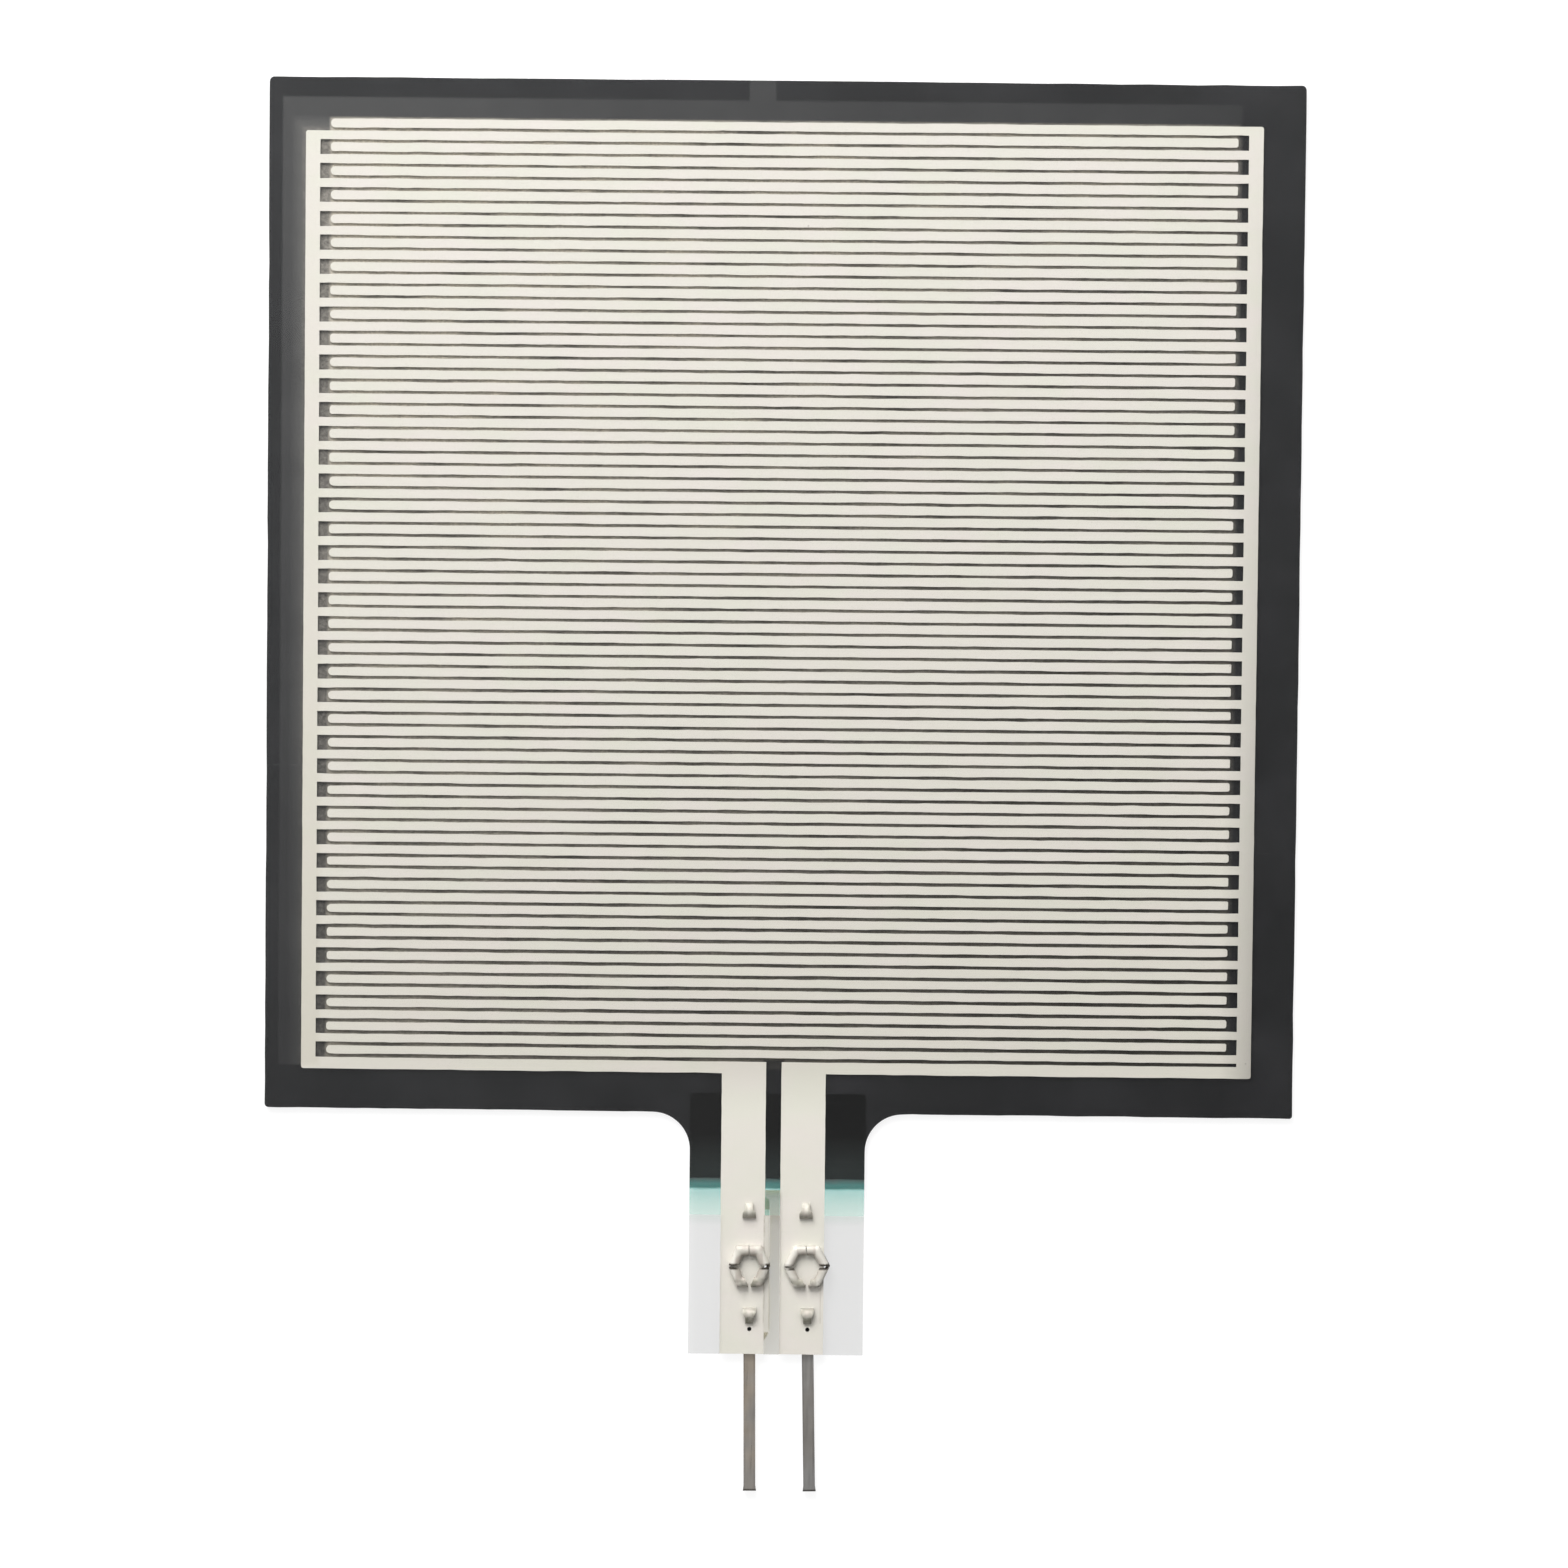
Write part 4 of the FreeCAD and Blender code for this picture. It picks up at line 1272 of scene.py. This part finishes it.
@dataclass
class Contact:
    """Stamped contact: flat body and pin below the film, ring of claws and two lances above it."""

    node: str
    centre: float
    turn_deg: float
    ring_width: float
    curl_width: float
    finish: TinnedMetal
    body_width: float
    crimp_from_tail_end: float = 3.78
    stock: float = 0.25
    body_radius: float = 0.20
    upper_reach: float = 2.91
    shoulder_start: float = -2.84
    shoulder_end: float = -3.77
    pin_width: float = 0.50
    pin_end_width: float = 0.56
    pin_end_length: float = 0.24
    pin_chamfer: float = 0.06
    pin_length: float = 5.88
    ring_height: float = 1.78
    ring_flat: float = 1.10
    claw_thickness: float = 0.12
    ring_fit: float = 0.997
    ring_corner: float = 0.10
    curl_deg: float = 168.0
    curl_flatness: float = 0.6
    side_gap: float = 0.05
    top_gap: float = 0.02
    bottom_gap: float = 0.06
    bottom_gap_inside: float = 0.35
    lance_root: float = 0.56
    lance_tip: float = 0.34
    lance_length: float = 0.66
    lance_rise: float = 0.176
    lance_thickness: float = 0.11
    upper_lance: float = 2.05
    lower_lance: float = 1.80
    prick_radius: float = 0.09
    prick_distance: float = 2.71
    broken_edge: float = 0.018
    steps: int = 10

    @property
    def leg(self) -> float:
        """Depth of the contact's upper face below the film's top."""
        return Span.of("front_film").top - Span.of("insulation_print").bottom

    @property
    def root(self) -> float:
        """Depth that the legs reach, half way into the stock."""
        return self.leg + 0.5 * self.stock

    @property
    def pin_end(self) -> float:
        """Where the pin ends, along the contact from its crimp centre."""
        return -self.crimp_from_tail_end - self.pin_length

    @property
    def place(self) -> Matrix:
        """Where the contact stands: its crimp centre on the film's top face."""
        crimp = Vector((self.centre, LAYOUT.tail_end + self.crimp_from_tail_end, Span.of("front_film").top))
        return Matrix.Translation(crimp) @ Matrix.Rotation(math.radians(self.turn_deg), 4, "Z")

    def build(self, workshop: Workshop) -> None:
        """Stamps the blank, welds on the claws and lances, and breaks the edges."""
        block = self._blank()
        workshop.carve(block, self._hexagon(1.0, -self.leg - self.stock, -self.leg), Carve.WELD)
        for tool in self._windows():
            workshop.carve(block, tool, Carve.CUT)
        for part in (self._claws(), self._lance(1), self._lance(-1)):
            workshop.carve(block, part, Carve.WELD)
        block.data.transform(self.place)
        edge = block.modifiers.new("broken_edges", "BEVEL")
        edge.width = self.broken_edge
        edge.segments = 2
        edge.limit_method = "ANGLE"
        edge.angle_limit = math.radians(50)
        workshop.apply(block)
        finish = replace(self.finish, crimp=tuple(self.place.translation.xy), turn_deg=self.turn_deg,
                         ring_half=(self.ring_width / 2, self.ring_height / 2),
                         lances=(self.upper_lance, self.lower_lance), body_half=self.body_width / 2,
                         prick_distance=self.prick_distance, film_edge=-self.crimp_from_tail_end,
                         pin_end=self.pin_end)
        workshop.hand_over(block, self.node, Slot.TINNED_CONTACT, finish, crease_deg=40.0)

    def piercings(self) -> BMesh:
        """What passes through the film and the trace: claws, lances and the prick of the lower lance."""
        joined = bmesh.new()
        for tool in (self._claws(), self._lance(1), self._lance(-1), self._prick(-2.0 * self.leg, 0.5)):
            tool.data.transform(self.place)
            joined.from_mesh(tool.data)
            bpy.data.objects.remove(tool)
        return joined

    def _blank(self) -> bpy.types.Object:
        """Flat stamping: body, shoulder and pin, grown downwards from its upper edge."""
        mesh = crossbar(self.body_width, self.upper_reach, 0.0)
        level = self.upper_reach
        front = mesh.edges[:]
        for low, width in ((self.shoulder_start, self.body_width), (self.shoulder_end, self.pin_width),
                           (self.pin_end + self.pin_end_length, self.pin_width),
                           (self.pin_end, self.pin_end_width)):
            front = moved_out(mesh, front, (0.0, low - level, 0.0))
            level = low
            for vert in ends_of(front):
                vert.co.x = math.copysign(width / 2, vert.co.x)
        corners = [vert for vert in mesh.verts if vert.co.y > self.shoulder_end + TOUCHING]
        merge_flat(mesh)
        round_corners(mesh, corners, self.body_radius, segments=5)
        thicken(mesh, -self.leg - self.stock, -self.leg)
        pin_edges = [edge for edge in mesh.edges
                     if edge.calc_length() > self.pin_length / 2
                     and all(vert.co.y < self.shoulder_end + 0.3 for vert in edge.verts)]
        round_edges(mesh, pin_edges, self.pin_chamfer, segments=3)
        return Workshop.block(mesh, self.node + "_stamping")

    def _outline(self, scale: float, filled: bool) -> BMesh:
        """Hexagon of the ring, widest at mid height, shrunk towards its centre by a scale."""
        mesh = bmesh.new()
        bmesh.ops.create_circle(mesh, segments=6, radius=1.0, cap_ends=filled)
        turn = Matrix.Rotation(math.radians(30), 3, "Z")
        bmesh.ops.rotate(mesh, verts=mesh.verts[:], cent=(0, 0, 0), matrix=turn)
        for vert in mesh.verts:
            wide = abs(vert.co.y) < 0.1
            vert.co.x = math.copysign((self.ring_width if wide else self.ring_flat) / 2, vert.co.x)
            vert.co.y = 0.0 if wide else math.copysign(self.ring_height / 2, vert.co.y)
        bmesh.ops.scale(mesh, vec=(scale, scale, 1.0), verts=mesh.verts[:])
        return mesh

    def _hexagon(self, scale: float, bottom: float, top: float) -> bpy.types.Object:
        """Prism over the ring's hexagon."""
        mesh = self._outline(scale, filled=True)
        thicken(mesh, bottom, top)
        return Workshop.block(mesh, "ring_prism")

    def _windows(self) -> list[bpy.types.Object]:
        """Tools for the openings that the claws and lances leave in the stamping."""
        bottom = -self.leg - 2.0 * self.stock
        top = -self.leg + 0.1
        inner = 1.0 - 1.2 * self.claw_thickness / (self.ring_height / 2)
        tools = [self._hexagon(inner, bottom, top)]
        for sign, root in ((1, self.upper_lance), (-1, self.lower_lance)):
            near = root + 1.2 * self.lance_thickness
            low, high = sorted((sign * near, sign * (root + self.lance_length)))
            opening = rectangle(-self.lance_root / 2, self.lance_root / 2, low, high)
            thicken(opening, bottom, top)
            tools.append(Workshop.block(opening, "lance_window"))
        tools.append(self._prick(-self.leg - 0.9 * self.stock, top))
        return tools

    def _prick(self, bottom: float, top: float) -> bpy.types.Object:
        """Round tool for the hole that the lower lance's point leaves."""
        mesh = bmesh.new()
        bmesh.ops.create_circle(mesh, segments=20, radius=self.prick_radius, cap_ends=True)
        moved(mesh, 0.0, -self.prick_distance, 0.0)
        thicken(mesh, bottom, top)
        return Workshop.block(mesh, "prick")

    def _claws(self) -> bpy.types.Object:
        """Four claws: legs up through the film, curled over towards the middle of the ring."""
        mesh = self._outline(self.ring_fit, filled=False)
        round_corners(mesh, mesh.verts[:], self.ring_corner, segments=4)
        sides = [edge for edge in mesh.edges if edge.calc_length() > 0.3]
        bmesh.ops.subdivide_edges(mesh, edges=sides, cuts=6)
        moved(mesh, 0.0, 0.0, -self.root)
        front = moved_out(mesh, mesh.edges[:], (0.0, 0.0, self.root))
        radius = self.curl_width / 2
        reach = self.ring_height / 2
        height = 0.0
        for step in range(1, self.steps + 1):
            angle = math.radians(self.curl_deg) * step / self.steps
            new_reach = self.ring_height / 2 - radius * (1.0 - math.cos(angle))
            new_height = radius * math.sin(angle) ** self.curl_flatness
            front = moved_out(mesh, front, (0.0, 0.0, new_height - height))
            shrink = new_reach / reach
            bmesh.ops.scale(mesh, vec=(shrink, shrink, 1.0), verts=ends_of(front))
            reach = new_reach
            height = new_height
        self._part_claws(mesh)
        return Workshop.walled(mesh, "claw_ring", self.claw_thickness)

    def _part_claws(self, mesh: BMesh) -> None:
        """Opens the gaps between the claws: narrow at the sides and top, and a V at the bottom."""
        split_at(mesh, "y", self.side_gap, -self.side_gap)
        split_at(mesh, "x", self.top_gap, -self.top_gap)
        for sign in (-1, 1):
            inside = Vector((sign * self.bottom_gap_inside, 0.0, 0.0))
            along = Vector((sign * self.bottom_gap, -self.ring_height / 2, 0.0)) - inside
            seam(mesh, inside, Vector((along.y, -along.x, 0.0)))
        gone = [face for face in mesh.faces if self._in_gap(face.calc_center_median())]
        bmesh.ops.delete(mesh, geom=gone, context="FACES")

    def _in_gap(self, place: Vector) -> bool:
        """Whether a place on the curled ring lies in a gap between two claws."""
        share = min(max(-place.y / (self.ring_height / 2), 0.0), 1.0)
        opening = self.bottom_gap_inside + (self.bottom_gap - self.bottom_gap_inside) * share
        beside = abs(place.y) < self.side_gap
        above = place.y > 0.0 and abs(place.x) < self.top_gap
        below = place.y < 0.0 and abs(place.x) < opening
        return beside or above or below

    def _lance(self, sign: int) -> bpy.types.Object:
        """Tongue that pierces the film at its root and arches over it, away from the ring."""
        mesh = crossbar(self.lance_root, 0.0, -self.root)
        bmesh.ops.subdivide_edges(mesh, edges=mesh.edges[:], cuts=3)
        front = moved_out(mesh, mesh.edges[:], (0.0, 0.0, self.root))
        width = self.lance_root
        height = 0.0
        for step in range(1, self.steps + 1):
            share = step / self.steps
            new_height = self.lance_rise * math.sin(math.pi * share ** 0.8)
            front = moved_out(mesh, front, (0.0, self.lance_length / self.steps, new_height - height))
            narrowing = min(1.0, max(0.0, (share - 0.35) / 0.25))
            new_width = self.lance_root + (self.lance_tip - self.lance_root) * narrowing
            bmesh.ops.scale(mesh, vec=(new_width / width, 1.0, 1.0), verts=ends_of(front))
            width = new_width
            height = new_height
        if sign > 0:
            moved(mesh, 0.0, self.upper_lance, 0.0)
        else:
            turn = Matrix.Rotation(math.pi, 3, "Z")
            bmesh.ops.rotate(mesh, verts=mesh.verts[:], cent=(0, 0, 0), matrix=turn)
            moved(mesh, 0.0, -self.lower_lance, 0.0)
        return Workshop.walled(mesh, "lance", self.lance_thickness)


@dataclass(frozen=True)
class Lamp:
    """Square soft lamp that faces the middle of the body: place and side in metres, power in watts."""

    name: str
    place: tuple[float, float, float]
    side: float
    power: float

    def build(self) -> None:
        """Hangs the lamp."""
        data = bpy.data.lights.new(self.name, "AREA")
        data.shape = "SQUARE"
        data.size = self.side
        data.energy = self.power
        lamp = bpy.data.objects.new(self.name, data)
        lamp.location = self.place
        lamp.rotation_euler = Vector(self.place).to_track_quat("Z", "Y").to_euler()
        bpy.context.scene.collection.objects.link(lamp)


@dataclass
class Studio:
    """Pale floor, soft lamps, a graded sky and the camera over the sensor."""

    lamps: tuple[Lamp, ...] = (Lamp("key_light", (-0.05, 0.17, 0.15), 0.14, 0.60),
                               Lamp("fill_light", (0.30, 0.02, 0.45), 0.34, 0.20))
    camera_distance: float = 0.300
    camera_turn_deg: tuple[float, float, float] = (-3.712, 0.966, 0.561)
    aim_mm: tuple[float, float] = (0.129, -7.843)
    view_width: float = 0.0665
    sensor_mm: float = 36.0
    floor_size: float = 3.0
    floor_drop: float = 0.00002
    floor_grey: float = 0.25
    floor_glow: float = 0.85
    sky_low: float = 0.05
    sky_high: float = 0.84
    sky_towards: tuple[float, float, float] = (-0.62, 0.78, 0.0)

    def build(self) -> None:
        """Makes floor, lamps, sky and camera."""
        self._floor()
        self._sky()
        for lamp in self.lamps:
            lamp.build()
        self._camera()

    def _floor(self) -> None:
        """White floor that keeps the sensor's soft shadow."""
        half = self.floor_size / 2
        mesh = rectangle(-half, half, -half, half)
        moved(mesh, 0.0, 0.0, -self.floor_drop)
        floor = Workshop.block(mesh, "studio_floor")
        material = bpy.data.materials.new("studio_floor_white")
        material.use_nodes = True
        nodes = NodeTree(material.node_tree)
        shader = material.node_tree.nodes["Principled BSDF"]
        shader.inputs["Base Color"].default_value = (self.floor_grey, self.floor_grey, self.floor_grey, 1.0)
        shader.inputs["Roughness"].default_value = 0.9
        shader.inputs["Specular IOR Level"].default_value = 0.0
        path = nodes.add("ShaderNodeLightPath")
        seen = Field(nodes, path.outputs["Is Camera Ray"]) | path.outputs["Is Glossy Ray"]
        seen = seen | path.outputs["Is Transmission Ray"]
        nodes.feed(shader.inputs["Emission Color"], (1.0, 1.0, 1.0))
        nodes.feed(shader.inputs["Emission Strength"], seen * self.floor_glow)
        floor.data.materials.append(material)
        floor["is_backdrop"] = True

    def _sky(self) -> None:
        """Surroundings that are brighter overhead towards the upper left than to the lower right."""
        world = bpy.data.worlds.new("studio_sky")
        world.use_nodes = True
        nodes = NodeTree(world.node_tree)
        direction = nodes.add("ShaderNodeTexCoord").outputs["Generated"]
        towards = nodes.add("ShaderNodeVectorMath", operation="DOT_PRODUCT")
        nodes.feed(towards.inputs[0], direction)
        towards.inputs[1].default_value = self.sky_towards
        height = Field(nodes, towards.outputs["Value"])
        background = world.node_tree.nodes["Background"]
        nodes.feed(background.inputs["Strength"], height.span(-0.16, 0.12, self.sky_low, self.sky_high))
        background.inputs["Color"].default_value = (1.0, 1.0, 1.0, 1.0)
        bpy.context.scene.world = world

    def _camera(self) -> None:
        """Camera at the photograph's viewing angle, nearly straight above."""
        turn = Euler([math.radians(angle) for angle in self.camera_turn_deg], "XYZ")
        data = bpy.data.cameras.new("photo_camera")
        data.sensor_width = self.sensor_mm
        data.lens = self.sensor_mm * self.camera_distance / self.view_width
        data.clip_start = 0.01
        camera = bpy.data.objects.new("photo_camera", data)
        camera.rotation_euler = turn
        aim = Vector((*self.aim_mm, 0.0)) * METRES_PER_MM
        camera.location = aim + turn.to_matrix() @ Vector((0.0, 0.0, self.camera_distance))
        bpy.context.scene.collection.objects.link(camera)
        bpy.context.scene.camera = camera
        bpy.context.scene.view_settings.view_transform = "Standard"


@dataclass
class Sensor:
    """The whole laminate with its combs and contacts, built from the back to the front."""

    left_contact: Contact = field(default_factory=lambda: Contact(
        "left_contact", centre=-1.14, turn_deg=0.55, ring_width=1.78, curl_width=0.44,
        finish=TinnedMetal("tin_browned", pin=(0.80, 0.70, 0.58), stain=(0.56, 0.48, 0.39)),
        body_width=1.70))
    right_contact: Contact = field(default_factory=lambda: Contact(
        "right_contact", centre=1.30, turn_deg=1.20, ring_width=1.98, curl_width=0.38,
        finish=TinnedMetal("tin_grey", pin=(0.61, 0.58, 0.54), stain=(0.41, 0.385, 0.355)),
        body_width=1.34))
    left_comb: Comb = field(default_factory=lambda: Comb(
        "left_comb", sign=-1, top_row=1, tip_radii=(0.05, 0.07, 0.09)))
    right_comb: Comb = field(default_factory=lambda: Comb(
        "right_comb", sign=1, tip_radii=(0.18, 0.175, 0.12)))

    def build(self, workshop: Workshop) -> None:
        """Builds every piece.

        Args:
            workshop: Makes, carves and dresses the pieces.
        """
        FilmLayer("release_liner", Slot.LINER_PAPER, LinerPaper()).build(workshop)
        FilmLayer("rear_adhesive", Slot.ADHESIVE, ClearAdhesive()).build(workshop)
        FilmLayer("back_film", Slot.CLEAR_FILM, ClearFilm()).build(workshop)
        FilmLayer("force_sensing_ink", Slot.CARBON_INK, CarbonInk(), rim=0.0).build(workshop)
        SpacerLayer().build(workshop)
        InsulationLayer().build(workshop)
        self.left_comb.build(workshop, self.left_contact.piercings())
        self.right_comb.build(workshop, self.right_contact.piercings())
        front = FilmLayer("front_film", Slot.CLEAR_FILM, ClearFilm())
        sheet = front.block()
        for contact in (self.left_contact, self.right_contact):
            workshop.carve(sheet, Workshop.block(contact.piercings(), "piercings"), Carve.CUT)
            contact.build(workshop)
        workshop.hand_over(sheet, front.node, front.slot, front.finish)


def write_sizes() -> None:
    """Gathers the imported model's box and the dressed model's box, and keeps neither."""
    boxes = {"cad": CAD_BOX, "visual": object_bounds()}
    {name: [list(corner) for corner in box] for name, box in boxes.items()}


def main() -> None:
    """Builds the studio and the sensor."""
    noise.seed_set(SEED)  # unseeded, the noise vectors differ from run to run
    Studio().build()
    Sensor().build(Workshop(Effects.build()))
    write_sizes()


if __name__ == "__main__":
    main()
